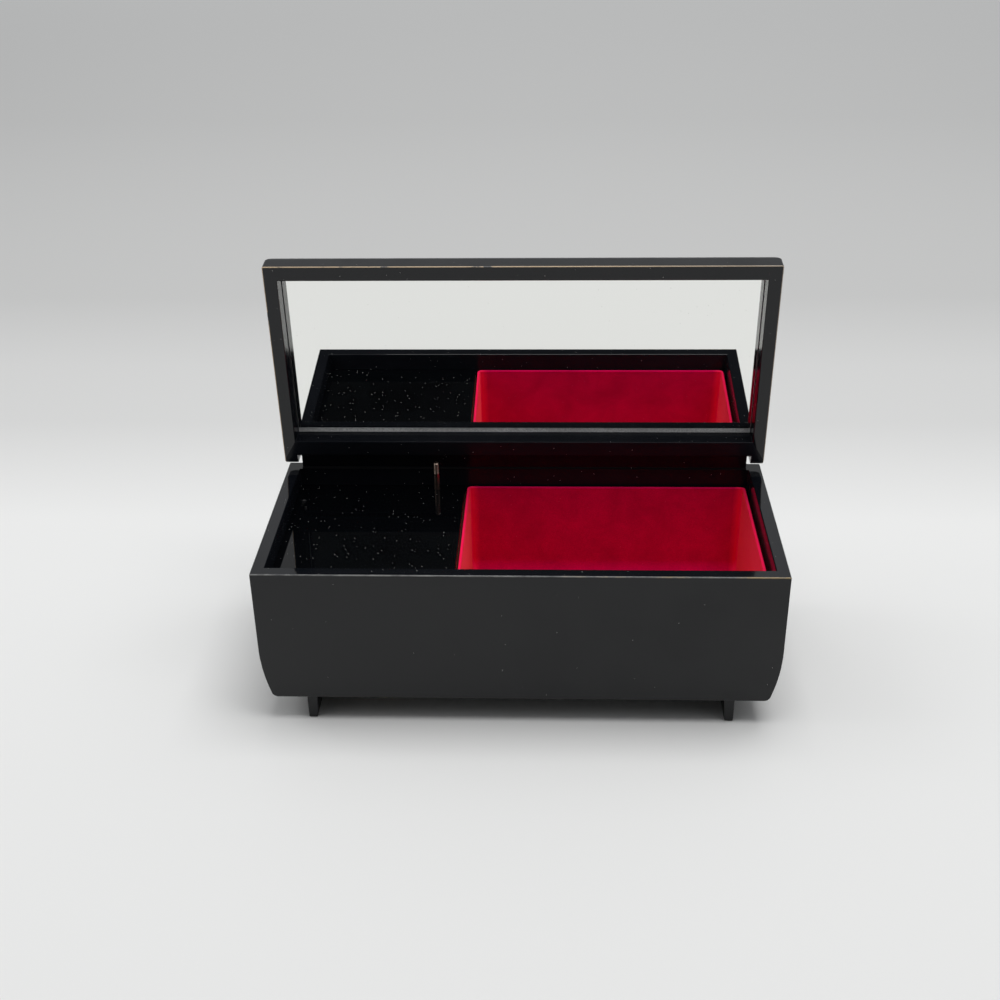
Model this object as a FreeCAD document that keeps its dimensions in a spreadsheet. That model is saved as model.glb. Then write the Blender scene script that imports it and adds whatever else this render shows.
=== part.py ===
import FreeCAD, Part
import math
import os
import re

from FreeCAD import Placement, Rotation, Vector

# Musical jewellery box, standing open. Millimetres, +X right, +Y back, +Z up.
# The origin is the middle of the whole outline on the floor, so front_y puts the body's front
# plane forward of it by half of the reach from there to the back of the open lid.

DOC = FreeCAD.newDocument("musical_jewellery_box")
SHEET = DOC.addObject("Spreadsheet::Sheet", "Sizes")

DRIVING = {
    # Body
    "box_width": 200.0,
    "box_depth": 90.5,
    "body_height": 56.4,
    "board": 5.0,
    "back_board_thick": 5.5,
    "bottom_thick": 4.5,
    "flank_height": 23.0,
    "flank_bend": 70.0,
    "toe_round": 2.5,
    "relief_depth": 0.45,
    "relief_run": 20.2,
    "glue_gap": 0.1,
    # Feet
    "foot_height": 11.0,
    "foot_thick": 4.2,
    "foot_taper": 0.8,
    "foot_from_side": 16.7,
    "foot_setback": 1.5,
    "foot_round": 0.6,
    # Lid
    "lid_length": 90.0,
    "lid_thick": 13.0,
    "lid_overhang": 0.4,
    "lid_edge_round": 6.0,
    "lid_web": 2.6,
    "lid_rest_gap": 0.05,
    "stile_width": 5.4,
    "front_rail_width": 6.0,
    "rear_rail_width": 6.6,
    "stile_heel_round": 3.0,
    "mirror_thick": 2.0,
    "mirror_gap": 0.1,
    # Hinge
    "open_angle": 85.66,
    "pivot_rise": 5.45,
    "pivot_from_lid_end": 2.4,
    "pivot_from_back": 2.6,
    "stop_gap": 0.1,
    "rail_end_gap": 1.2,
    "hinge_pin_bore": 1.8,
    "hinge_pin_hold": 3.0,
    "hinge_pin_reach": 2.5,
    "running_fit": 0.05,
    "seat_fit": 0.02,
    # Well, cover panel and what holds them
    "panel_drop": 8.0,
    "panel_thick": 3.0,
    "panel_gap": 0.2,
    "partition_thick": 3.0,
    "movement_room": 67.3,
    "ledge": 3.0,
    "tray_gap": 1.0,
    "tray_wall": 1.2,
    "tray_floor": 1.5,
    "tray_bottom_round": 8.0,
    "tray_corner_round": 2.0,
    # Stop pin
    "pin_thick": 2.4,
    "pin_rise": 4.45,
    "pin_from_partition": 8.7,
    "pin_from_back_wall": 3.4,
    "pin_press_gap": 0.1,
    "pin_below_guide": 1.0,
    "guide_width": 9.0,
    "guide_height": 14.0,
    "guide_from_floor": 10.5,
    "arm_thick": 1.2,
    "arm_width": 4.0,
    "nut_thick": 1.8,
    "nut_flats": 4.5,
    "nut_gap": 0.3,
    "brake_gap": 0.1,
    "pin_spring_wire": 0.5,
    "pin_spring_outer": 4.4,
    "pin_spring_turns": 7.0,
    # Movement bedplate, measured from the partition and the inside of the front board
    "bed_thick": 2.0,
    "bed_length": 62.0,
    "bed_width": 59.0,
    "bed_from_partition": 1.5,
    "bed_from_front": 8.0,
    "boss_thick": 6.0,
    "boss_height": 3.0,
    "boss_inset": 4.0,
    "boss_from_comb_side": 14.2,
    "screw_thick": 3.0,
    "screw_head": 5.6,
    "screw_head_thick": 1.8,
    "small_screw": 2.0,
    "small_head": 3.8,
    "small_head_thick": 1.2,
    "plate_screw_head": 3.23,
    "post_grip": 5.0,
    "block_grip": 6.0,
    "thread_end_gap": 0.4,
    # Barrel and winding
    "barrel_from_partition": 30.3,
    "barrel_from_front": 22.0,
    "barrel_outer": 24.0,
    "barrel_height": 7.3,
    "barrel_wall": 1.0,
    "barrel_lift": 0.4,
    "crown_plate": 1.2,
    "crown_teeth": 28.0,
    "crown_module": 0.8,
    "crown_face": 1.0,
    "crown_rise": 0.875,
    "crown_fall": 1.125,
    "arbor_thick": 4.0,
    "ratchet_thick": 1.2,
    "ratchet_tip": 12.0,
    "ratchet_root": 9.6,
    "ratchet_teeth": 14.0,
    "ratchet_land": 0.15,
    "ratchet_lift": 0.5,
    "click_thick": 1.0,
    "click_length": 13.2,
    "spring_strip": 0.35,
    "spring_pitch": 1.2,
    "spring_turns": 7.0,
    "key_span": 22.0,
    "key_wing": 2.4,
    "key_height": 6.5,
    "key_gap": 1.2,
    "key_hub": 8.0,
    "key_round": 2.6,
    "arbor_end": 1.0,
    "bridge_thick": 1.6,
    "bridge_width": 7.0,
    "bridge_gap": 0.6,
    "bridge_post": 5.0,
    "bridge_post_gap": 1.4,
    # Cylinder, comb and train
    "pinion_teeth": 14.0,
    "pinion_face": 1.0,
    "cylinder_thick": 13.0,
    "cylinder_length": 24.0,
    "cylinder_wall": 1.0,
    "note_pin_thick": 0.5,
    "note_pin_rise": 0.7,
    "notes": 18.0,
    "comb_gap": 0.1,
    "comb_thick": 1.8,
    "comb_tooth_thick": 0.6,
    "comb_tooth_length": 12.0,
    "comb_slot": 0.35,
    "comb_heel": 9.0,
    "cylinder_arbor_thick": 2.4,
    "post_thick": 1.8,
    "post_width": 6.0,
    "train_gap": 0.8,
    "wheel_face": 1.5,
    "wheel_teeth": 48.0,
    "leaf_teeth": 10.0,
    "train_module": 0.5,
    "spur_rise": 0.8,
    "spur_fall": 1.0,
    "second_bar_thick": 1.7,
    "second_post_back": 12.0,
    "plate_thick": 1.6,
    "worm_teeth": 24.0,
    "worm_face": 1.0,
    "worm_pitch_thick": 3.2,
    "worm_turns": 4.5,
    "worm_rise": 0.7,
    "worm_from_post": 4.0,
    "spindle_thick": 2.0,
    "pivot_thick": 1.2,
    "fan_span": 9.0,
    "fan_gap": 0.4,
    "fan_blade": 0.4,
    "fan_hub": 3.2,
    "disc_thick": 0.8,
    "disc_span": 7.0,
    "bracket_wall": 1.5,
    "bracket_lug": 1.6,
    "foot_tab": 5.0,
    "backlash": 0.2,
    "tooth_sunk": 0.1,
}

DERIVED = {
    # Heights
    "under_z": "foot_height",
    "rim_z": "foot_height + body_height",
    "floor_z": "foot_height + bottom_thick",
    "deck_z": "rim_z - panel_drop",
    "panel_under_z": "deck_z - panel_thick",
    "bend_top_z": "under_z + flank_height",
    # Hinge line, counted from the body's front plane and then from the origin
    "pivot_z": "rim_z + pivot_rise",
    "pivot_depth": "box_depth - pivot_from_back",
    "lid_under": "lid_rest_gap - pivot_rise",
    "lid_top": "lid_under + lid_thick",
    "lean": "90 - open_angle",
    "round_up": "(lid_top - lid_edge_round) * cos(lean)",
    "round_back": "(pivot_from_lid_end - lid_edge_round) * sin(lean)",
    "reach_back": "pivot_depth + round_up + round_back + lid_edge_round",
    "front_y": "-reach_back / 2",
    "pivot_y": "front_y + pivot_depth",
    "back_y": "front_y + box_depth",
    # Inside faces
    "side_x": "box_width / 2",
    "inner_x": "side_x - board",
    "front_in_y": "front_y + board",
    "back_in_y": "back_y - back_board_thick",
    "bend_x": "side_x - flank_bend",
    "inner_bend": "flank_bend - board",
    "toe_x": "bend_x + sqrt((flank_bend - toe_round) ^ 2 - (flank_height - toe_round) ^ 2)",
    "toe_top_z": "bend_top_z - (flank_height - toe_round) * flank_bend / (flank_bend - toe_round)",
    "partition_left_x": "movement_room - inner_x",
    "partition_right_x": "partition_left_x + partition_thick",
    # Lid
    "lid_half": "side_x + lid_overhang",
    "stile_in_x": "lid_half - stile_width",
    "stile_height": "lid_thick - lid_web",
    "web_under": "lid_top - lid_web",
    "lid_front": "pivot_from_lid_end - lid_length",
    "recess_front": "lid_front + front_rail_width",
    "recess_back": "-(pivot_from_lid_end + rear_rail_width)",
    "rail_half": "stile_in_x - rail_end_gap",
    "rail_front_gap": "pivot_from_lid_end - stop_gap",
    # Stop pin
    "pin_x": "partition_left_x - pin_from_partition",
    "pin_y": "back_in_y - pin_from_back_wall",
    "pin_travel": "pin_rise + pin_press_gap",
    "pin_top_z": "rim_z + pin_rise",
    "nut_z": "panel_under_z - nut_gap - nut_thick",
    "arm_z": "nut_z - arm_thick",
    "guide_z": "floor_z + guide_from_floor",
    "guide_top_z": "guide_z + guide_height",
    "pin_foot_z": "guide_z + pin_travel + pin_below_guide",
    "brake_z": "arm_z - pin_travel - brake_gap",
    # Movement
    "bed_right_x": "partition_left_x - bed_from_partition",
    "bed_left_x": "bed_right_x - bed_width",
    "bed_front_y": "front_in_y + bed_from_front",
    "bed_back_y": "bed_front_y + bed_length",
    "bed_z": "floor_z + bed_thick",
    "barrel_x": "partition_left_x - barrel_from_partition",
    "barrel_y": "front_in_y + barrel_from_front",
    "ratchet_z": "bed_z + ratchet_lift",
    "barrel_z": "ratchet_z + ratchet_thick + barrel_lift",
    "crown_z": "barrel_z + barrel_height",
    "crown_face_z": "crown_z + crown_plate",
    "crown_reach": "crown_teeth * crown_module / 2",
    "pinion_reach": "pinion_teeth * crown_module / 2",
    "tooth_deep": "crown_module * crown_fall",
    "tooth_tall": "crown_module * crown_rise",
    "drum_z": "crown_face_z + tooth_deep + pinion_reach",
    "pinion_y": "barrel_y + crown_reach - pinion_face / 2",
    "front_post_y": "barrel_y + barrel_outer / 2 + train_gap",
    "drum_y": "front_post_y + post_thick + train_gap",
    "drum_end_y": "drum_y + cylinder_length",
    "wheel_y": "drum_end_y + train_gap",
    "plate_y": "wheel_y + wheel_face + train_gap",
    "drum_reach": "cylinder_thick / 2 + note_pin_rise",
    "wheel_reach": "wheel_teeth * train_module / 2",
    "leaf_reach": "leaf_teeth * train_module / 2",
    "second_x": "barrel_x + wheel_reach + leaf_reach",
    "second_post_y": "drum_end_y - second_post_back",
    "worm_wheel_y": "second_post_y + post_thick + worm_from_post",
    "worm_line_y": "worm_wheel_y + worm_face / 2",
    "worm_reach": "worm_teeth * train_module / 2",
    "governor_x": "second_x + worm_reach + worm_pitch_thick / 2",
    "comb_tip_x": "barrel_x - drum_reach - comb_gap",
    "comb_root_x": "comb_tip_x - comb_tooth_length",
    "comb_top_z": "drum_z + comb_tooth_thick / 2",
    "comb_under_z": "comb_top_z - comb_thick",
    "bridge_z": "crown_face_z + tooth_deep + tooth_tall + bridge_gap",
    "bridge_post_out": "barrel_outer / 2 + bridge_post_gap + bridge_post / 2",
    "key_top_z": "under_z - key_gap",
    "key_foot_z": "key_top_z - key_height",
    "disc_z": "brake_z - disc_thick",
    "fan_z": "drum_z + worm_reach + spur_rise * train_module + fan_gap",
    "fan_height": "disc_z - fan_z",
    "lug_z": "brake_z + arm_thick + brake_gap",
}

for row, (word, number) in enumerate(list(DRIVING.items()) + list(DERIVED.items()), start=1):
    SHEET.set("A%d" % row, word)
    SHEET.set("B%d" % row, str(number) if word in DRIVING else "=" + number)
    SHEET.setAlias("B%d" % row, word)
DOC.recompute()

WORD = re.compile(r"[A-Za-z_]\w*")
ALIASES = set(DRIVING) | set(DERIVED)
NODES = []


def linked(formula):
    """A formula in the sheet's words, with each word pointed at the sheet."""
    return WORD.sub(lambda w: "Sizes." + w.group() if w.group() in ALIASES else w.group(), str(formula))


def size(word):
    """The number that the sheet holds under a word."""
    return float(getattr(SHEET, word))


def bind(obj, **formulas):
    """Ties the properties of an object to the sheet."""
    for name, formula in formulas.items():
        obj.setExpression(name, linked(formula))
    return obj


def put(obj, x=0, y=0, z=0):
    """Ties an object's place to the sheet."""
    obj.setExpression("Placement.Base.x", linked(x))
    obj.setExpression("Placement.Base.y", linked(y))
    obj.setExpression("Placement.Base.z", linked(z))
    return obj


def box(name, x, y, z, length, width, height):
    """A block from its lowest corner."""
    obj = DOC.addObject("Part::Box", name)
    bind(obj, Length=length, Width=width, Height=height)
    return put(obj, x, y, z)


TURNS = {"x": Rotation(Vector(0, 1, 0), 90), "y": Rotation(Vector(1, 0, 0), -90), "z": Rotation()}


def rod(name, along, x, y, z, radius, length):
    """A round bar from the middle of its first end, along +X, +Y or +Z."""
    obj = DOC.addObject("Part::Cylinder", name)
    obj.Placement = Placement(Vector(), TURNS[along])
    bind(obj, Radius=radius, Height=length)
    return put(obj, x, y, z)


def group(kind, name, parts):
    obj = DOC.addObject(kind, name)
    obj.Shapes = parts
    return obj


def join(name, *parts):
    obj = group("Part::MultiFuse", name, list(parts))
    obj.Refine = True
    return obj


def common(name, *parts):
    return group("Part::MultiCommon", name, list(parts))


def cut(name, base, *tools):
    """The base less every tool."""
    tool = tools[0]
    if len(tools) > 1:
        tool = group("Part::MultiFuse", name + "_tools", list(tools))
    obj = DOC.addObject("Part::Cut", name)
    obj.Base = base
    obj.Tool = tool
    obj.Refine = True
    return obj


def set_of(name, *parts):
    """Identical pieces that share one node as separate solids."""
    obj = DOC.addObject("Part::Compound", name)
    obj.Links = list(parts)
    return obj


def rounded(name, base, radius, wanted):
    """Rounds the edges of the base whose midpoint and direction pass a test."""
    DOC.recompute()
    edges = []
    for number, edge in enumerate(base.Shape.Edges, start=1):
        middle = edge.valueAt((edge.FirstParameter + edge.LastParameter) / 2)
        way = edge.tangentAt((edge.FirstParameter + edge.LastParameter) / 2)
        if wanted(middle, way):
            edges.append((number, radius, radius))
    obj = DOC.addObject("Part::Fillet", name)
    obj.Base = base
    obj.Edges = edges
    return obj


def coded(name, shape, place=None):
    """A shape that is worked out by formula."""
    obj = DOC.addObject("Part::Feature", name)
    obj.Shape = shape
    if place is not None:
        obj.Placement = place
    return obj


def node(label, obj):
    """Marks a finished piece, which gets a file of its own."""
    obj.Label = label
    NODES.append(obj)
    return obj


def near(a, b):
    return abs(a - b) < 1e-4


# Curved flanks. The outside drops straight, bends in, and turns round a small toe to the underside.
# The waste outside that line is cut from every board that spans the full width.

def bent_bar(name, side, radius, first_y, length):
    return rod(name, "y", "%s * bend_x" % side, first_y, "bend_top_z", radius, length)


def flank_waste(name, side):
    corner_x = "bend_x" if side == 1 else "-side_x - 1"
    corner = box(name + "_corner", corner_x, "front_y - 1", "under_z - 1",
                 "flank_bend + 1", "box_depth + 2", "flank_height + 1")
    bar = bent_bar(name + "_bar", side, "flank_bend", "front_y - 2", "box_depth + 4")
    outer_x = "toe_x" if side == 1 else "-side_x - 1"
    toe = box(name + "_toe", outer_x, "front_y - 1", "under_z - 1",
              "side_x - toe_x + 1", "box_depth + 2", "toe_top_z - under_z + 1")
    toe_bar = rod(name + "_toe_bar", "y", "%s * toe_x" % side, "front_y - 2", "under_z + toe_round",
                  "toe_round", "box_depth + 4")
    return join(name, cut(name + "_bend", corner, bar), cut(name + "_corner_toe", toe, toe_bar))


WASTES = [flank_waste("left_waste", -1), flank_waste("right_waste", 1)]


def relief(name, side):
    """The low step at the rear of a side wall's top, under the swinging stile."""
    corner_x = "rail_half" if side == 1 else "-side_x - 1"
    return box(name, corner_x, "back_y - relief_run", "rim_z - relief_depth",
               "side_x - rail_half + 1", "relief_run + 1", "relief_depth + 1")


RELIEFS = [relief("left_relief", -1), relief("right_relief", 1)]

front_blank = box("front_blank", "-side_x", "front_y", "under_z", "box_width", "board", "body_height")
node("front_board", cut("front_board", front_blank, *WASTES))


# End boards follow the bend inside and out and stand between the front and back boards.

def end_board(name, side, waste, step):
    low_x = "bend_x" if side == 1 else "-side_x"
    run = "back_in_y - front_in_y - 2 * glue_gap"
    first = "front_in_y + glue_gap"
    blank = box(name + "_blank", low_x, first, "under_z", "flank_bend", run, "body_height")
    hollow_x = "bend_x - 1" if side == 1 else "-inner_x"
    upper = box(name + "_upper", hollow_x, "front_y", "bend_top_z",
                "inner_bend + 1", "box_depth", "body_height")
    lower = bent_bar(name + "_lower", side, "inner_bend", "front_y", "box_depth")
    return cut(name, blank, waste, upper, lower, step)


node("left_end_board", end_board("left_end_board", -1, WASTES[0], RELIEFS[0]))
node("right_end_board", end_board("right_end_board", 1, WASTES[1], RELIEFS[1]))

# Back board with the raised hinge rail. The rail's nose is round about the hinge line, and its seat
# slopes so that the open lid's rear rail lands flat on it.

back_blank = box("back_blank", "-side_x", "back_in_y", "under_z",
                 "box_width", "back_board_thick", "body_height")
back_flat = cut("back_flat", back_blank, *(WASTES + RELIEFS))
rail_front = "pivot_y - rail_front_gap"
rail_foot = box("rail_foot", "-rail_half", rail_front, "rim_z - 1",
                "2 * rail_half", "back_y - pivot_y + rail_front_gap", "pivot_rise + 1")
rail_nose = rod("rail_nose", "x", "-rail_half", "pivot_y", "pivot_z", "rail_front_gap", "2 * rail_half")
seat_limit = box("seat_limit", "-rail_half", rail_front, "pivot_z",
                 "2 * rail_half", "back_y - pivot_y + rail_front_gap", "2 * pivot_rise")
seat_wedge = DOC.addObject("Part::Box", "seat_wedge")
seat_wedge.Placement = Placement(Vector(), Rotation(Vector(1, 0, 0), 1))
bind(seat_wedge, Length="2 * rail_half", Width="3 * pivot_from_back", Height="pivot_rise + rail_front_gap")
seat_wedge.setExpression("Placement.Rotation.Angle", linked("lean"))
put(seat_wedge, "-rail_half", "pivot_y + pivot_rise * sin(lean)", "pivot_z - pivot_rise * cos(lean)")
rail_seat = common("rail_seat", seat_wedge, seat_limit)
back_whole = join("back_whole", back_flat, rail_foot, rail_nose, rail_seat)
pin_start = "rail_half - hinge_pin_hold"
rail_bores = [
    rod("left_rail_bore", "x", "-rail_half - 1", "pivot_y", "pivot_z",
        "hinge_pin_bore / 2 + seat_fit", "hinge_pin_hold + 1 + seat_fit"),
    rod("right_rail_bore", "x", pin_start + " - seat_fit", "pivot_y", "pivot_z",
        "hinge_pin_bore / 2 + seat_fit", "hinge_pin_hold + 1 + seat_fit"),
]
node("back_board", cut("back_board", back_whole, *rail_bores))

pin_length = "hinge_pin_hold + rail_end_gap + hinge_pin_reach"
node("hinge_pins", set_of(
    "hinge_pins",
    rod("left_hinge_pin", "x", "-(stile_in_x + hinge_pin_reach)", "pivot_y", "pivot_z",
        "hinge_pin_bore / 2", pin_length),
    rod("right_hinge_pin", "x", pin_start, "pivot_y", "pivot_z", "hinge_pin_bore / 2", pin_length)))

# Bottom board, let in between the four walls. It carries the movement's screws in counterbores.

bottom_blank = box("bottom_blank", "-side_x", "front_in_y + glue_gap", "under_z",
                   "box_width", "back_in_y - front_in_y - 2 * glue_gap", "bottom_thick")
bottom_bars = [
    bent_bar("bottom_left_bar", -1, "inner_bend - glue_gap", "front_y", "box_depth"),
    bent_bar("bottom_right_bar", 1, "inner_bend - glue_gap", "front_y", "box_depth"),
    box("bottom_middle", "-bend_x", "front_y", "under_z - 1", "2 * bend_x", "box_depth", "flank_height"),
]
bottom_outline = join("bottom_outline", *bottom_bars)
bottom_plain = common("bottom_plain", bottom_blank, bottom_outline)

MOUNT_PLACES = [
    ("bed_left_x + boss_from_comb_side", "bed_front_y + boss_inset"),
    ("bed_right_x - boss_inset", "bed_front_y + boss_inset"),
    ("bed_left_x + boss_from_comb_side", "bed_back_y - boss_inset"),
]
bottom_holes = [
    rod("key_way", "z", "barrel_x", "barrel_y", "under_z - 1", "arbor_thick", "bottom_thick + 2"),
]
for number, (x, y) in enumerate(MOUNT_PLACES):
    bottom_holes.append(rod("mount_clear_%d" % number, "z", x, y, "under_z - 1",
                            "screw_thick / 2 + running_fit", "bottom_thick + 2"))
    bottom_holes.append(rod("mount_sink_%d" % number, "z", x, y, "under_z - 1",
                            "screw_head / 2 + running_fit", "screw_head_thick + 1 + running_fit"))
node("bottom_board", cut("bottom_board", bottom_plain, *bottom_holes))


# Runner feet, glued under the bottom. Their inner faces slope, so that they narrow towards the floor,
# and their lower edges are eased.

def runner(name, x, floor_from, floor_to):
    blank = DOC.addObject("Part::Wedge", name + "_blank")
    blank.Placement = Placement(Vector(), Rotation(Vector(1, 0, 0), 90))
    bind(blank, Xmin=floor_from, Xmax=floor_to, X2min="0", X2max="foot_thick", Ymin="0", Ymax="foot_height",
         Zmin="0", Z2min="0", Zmax="box_depth - 2 * foot_setback", Z2max="box_depth - 2 * foot_setback")
    put(blank, x, "back_y - foot_setback", 0)
    radius = min(size("foot_round"), size("foot_thick") / 4)
    return rounded(name, blank, radius, lambda p, way: near(p.z, 0))


node("left_foot_runner", runner("left_foot_runner", "-side_x + foot_from_side",
                                "0", "foot_thick - foot_taper"))
node("right_foot_runner", runner("right_foot_runner", "side_x - foot_from_side - foot_thick",
                                 "foot_taper", "foot_thick"))

# Partition, ledge strips and the glossy cover panel over the movement.

inside_run = "back_in_y - front_in_y - 2 * glue_gap"
node("partition_board", box("partition_board", "partition_left_x", "front_in_y + glue_gap", "floor_z",
                            "partition_thick", inside_run, "panel_under_z - floor_z"))
ledge_x = "-inner_x + glue_gap"
node("front_ledge_strip", box("front_ledge_strip", ledge_x, "front_in_y", "panel_under_z - ledge",
                              "partition_left_x + inner_x - 2 * glue_gap", "ledge", "ledge"))
node("rear_ledge_strip", box("rear_ledge_strip", ledge_x, "back_in_y - ledge", "panel_under_z - ledge",
                             "pin_x - guide_width / 2 + inner_x - 1", "ledge", "ledge"))
panel_blank = box("panel_blank", "-inner_x + panel_gap", "front_in_y + panel_gap", "panel_under_z",
                  "partition_right_x + inner_x - panel_gap",
                  "back_in_y - front_in_y - 2 * panel_gap", "panel_thick")
panel_hole = rod("panel_hole", "z", "pin_x", "pin_y", "panel_under_z - 1",
                 "pin_thick / 2 + running_fit", "panel_thick + 2")
node("music_cover_panel", cut("music_cover_panel", panel_blank, panel_hole))

# Flocked well: one formed tray with a large round along its bottom edges.

tray_x = "partition_right_x + tray_gap"
tray_length = "inner_x - rail_end_gap - partition_right_x - tray_gap"
tray_y = "front_in_y + tray_gap"
tray_width = "back_in_y - front_in_y - 2 * tray_gap"


def tray_block(name, inset, lift, bottom_round, corner_round):
    blank = box(name + "_blank", "%s + %s" % (tray_x, inset), "%s + %s" % (tray_y, inset),
                "floor_z + %s" % lift, "%s - 2 * %s" % (tray_length, inset),
                "%s - 2 * %s" % (tray_width, inset), "deck_z - floor_z")
    upright = rounded(name + "_upright", blank, corner_round, lambda p, way: near(abs(way.z), 1))
    foot = size("floor_z") + (size("tray_floor") if lift != "0" else 0)
    return rounded(name, upright, bottom_round, lambda p, way: near(p.z, foot))


tray_outer = tray_block("tray_outer", "0", "0", size("tray_bottom_round"), size("tray_corner_round"))
tray_inner = tray_block("tray_inner", "tray_wall", "tray_floor",
                        size("tray_bottom_round") - size("tray_wall"),
                        size("tray_corner_round") - size("tray_wall"))
node("jewellery_tray", cut("jewellery_tray", tray_outer, tray_inner))

# Lid. Each piece is drawn closed, counted from the hinge line, and trimmed to one outline whose top
# edges are rounded; then it is turned up to the open angle about the hinge line.

lid_block = box("lid_block", "-lid_half", "lid_front", "lid_under",
                "2 * lid_half", "lid_length", "lid_thick")
lid_outline = rounded("lid_outline", lid_block, size("lid_edge_round"),
                      lambda p, way: near(p.z, size("lid_top")))


def lid_piece(label, shape):
    shape.Placement = Placement(Vector(), Rotation(Vector(-1, 0, 0), 1))
    shape.setExpression("Placement.Rotation.Angle", linked("open_angle"))
    put(shape, 0, "pivot_y", "pivot_z")
    return node(label, shape)


def stile(name, side):
    low_x = "stile_in_x" if side == 1 else "-lid_half"
    blank = box(name + "_blank", low_x, "lid_front", "lid_under",
                "stile_width", "lid_length", "stile_height")
    trimmed = common(name + "_trimmed", blank, lid_outline)
    heel = rounded(name + "_heel", trimmed, size("stile_heel_round"),
                   lambda p, way: near(p.z, size("lid_under")) and near(p.y, size("pivot_from_lid_end")))
    bore_x = "stile_in_x - 1" if side == 1 else "-(stile_in_x + hinge_pin_reach + running_fit)"
    bore = rod(name + "_bore", "x", bore_x, 0, 0,
               "hinge_pin_bore / 2 + running_fit", "hinge_pin_reach + running_fit + 1")
    return cut(name, heel, bore)


lid_piece("lid_left_stile", stile("lid_left_stile", -1))
lid_piece("lid_right_stile", stile("lid_right_stile", 1))


def rail(name, first, width):
    blank = box(name + "_blank", "-stile_in_x", first, "lid_under",
                "2 * stile_in_x", width, "stile_height")
    return common(name, blank, lid_outline)


lid_piece("lid_front_rail", rail("lid_front_rail", "lid_front", "front_rail_width"))
lid_piece("lid_rear_rail", rail("lid_rear_rail", "recess_back", "rear_rail_width"))
web_blank = box("web_blank", "-lid_half", "lid_front", "web_under", "2 * lid_half", "lid_length", "lid_web")
lid_piece("lid_top_panel", common("lid_top_panel", web_blank, lid_outline))
mirror_plate = box("mirror_blank", "-stile_in_x + mirror_gap", "recess_front + mirror_gap",
                   "web_under - mirror_thick", "2 * (stile_in_x - mirror_gap)",
                   "recess_back - recess_front - 2 * mirror_gap", "mirror_thick")
lid_piece("lid_mirror_plate", common("lid_mirror_plate", mirror_plate, lid_block))

# Stop pin. The closing lid's rear rail pushes it down; its arm then lies on the brake disc. The coil
# between the guide block and the arm lifts it again.

node("stop_pin", rod("stop_pin", "z", "pin_x", "pin_y", "pin_foot_z", "pin_thick / 2",
                     "pin_top_z - pin_foot_z"))
pin_bore = rod("pin_bore", "z", "pin_x", "pin_y", "floor_z", "pin_thick / 2 + running_fit", "body_height")
seat_bore = rod("seat_bore", "z", "pin_x", "pin_y", "floor_z", "pin_thick / 2 + seat_fit", "body_height")
guide_blank = box("guide_blank", "pin_x - guide_width / 2", "pin_y - guide_width / 2", "guide_z",
                  "guide_width", "back_in_y - pin_y + guide_width / 2", "guide_height")
node("pin_guide_block", cut("pin_guide_block", guide_blank, pin_bore))

arm_tip_y = "worm_line_y + disc_span / 4"
arm_blank = box("arm_blank", "pin_x - arm_width / 2", arm_tip_y, "arm_z",
                "arm_width", "pin_y - (%s)" % arm_tip_y, "arm_thick")
arm_eye = rod("arm_eye", "z", "pin_x", "pin_y", "arm_z", "arm_width / 2", "arm_thick")
node("stop_arm", cut("stop_arm", join("arm_whole", arm_blank, arm_eye), seat_bore))

nut_blank = DOC.addObject("Part::Prism", "nut_blank")
nut_blank.Polygon = 6
bind(nut_blank, Circumradius="nut_flats / 2 / cos(30)", Height="nut_thick")
put(nut_blank, "pin_x", "pin_y", "nut_z")
node("stop_pin_nut", cut("stop_pin_nut", nut_blank, seat_bore))


def coil(radius, wire, height, turns):
    """A compression spring round +Z, from its lowest wire's middle."""
    helix = Part.makeHelix(height / turns, height, radius)
    start = Part.Wire(Part.makeCircle(wire / 2, Vector(radius, 0, 0), Vector(0, 1, 0)))
    return Part.Wire(helix.Edges).makePipeShell([start], True, True)


spring_wire = size("pin_spring_wire")
spring_space = size("arm_z") - size("guide_top_z") - spring_wire - 2 * size("glue_gap")
coil_radius = (size("pin_spring_outer") - spring_wire) / 2
coil_shape = coil(coil_radius, spring_wire, spring_space, size("pin_spring_turns"))
coil_gap = spring_space / size("pin_spring_turns") - spring_wire
print("stop pin spring: gap between turns %.2f mm" % coil_gap)
coil_place = Vector(size("pin_x"), size("pin_y"), size("guide_top_z") + size("glue_gap") + spring_wire / 2)
node("stop_pin_spring", coded("stop_pin_spring", coil_shape, Placement(coil_place, Rotation())))

# Bedplate with the posts cast on it: two for the barrel bridge, one bearing for the cylinder, one for
# the second arbor, and the block under the comb.

bed_blank = box("bed_blank", "bed_left_x", "bed_front_y", "floor_z", "bed_width", "bed_length", "bed_thick")
bed_parts = [bed_blank]
for number, (x, y) in enumerate(MOUNT_PLACES):
    bed_parts.append(rod("boss_%d" % number, "z", x, y, "bed_z - 1", "boss_thick / 2", "boss_height + 1"))
for side, word in ((-1, "left"), (1, "right")):
    bed_parts.append(rod("bridge_post_%s" % word, "z", "barrel_x + %d * bridge_post_out" % side,
                         "barrel_y", "bed_z - 1", "bridge_post / 2", "bridge_z - bed_z + 1"))
bed_parts.append(box("front_post", "barrel_x - post_width / 2", "front_post_y", "bed_z - 1",
                     "post_width", "post_thick", "drum_z - bed_z + 1 + post_width / 2"))
bed_parts.append(box("second_post", "second_x - post_width / 2", "second_post_y", "bed_z - 1",
                     "post_width", "post_thick", "drum_z - bed_z + 1 + post_width / 2"))
bed_parts.append(box("comb_block", "comb_root_x - comb_heel", "drum_y", "bed_z - 1",
                     "comb_heel", "cylinder_length", "comb_under_z - bed_z + 1"))
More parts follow.
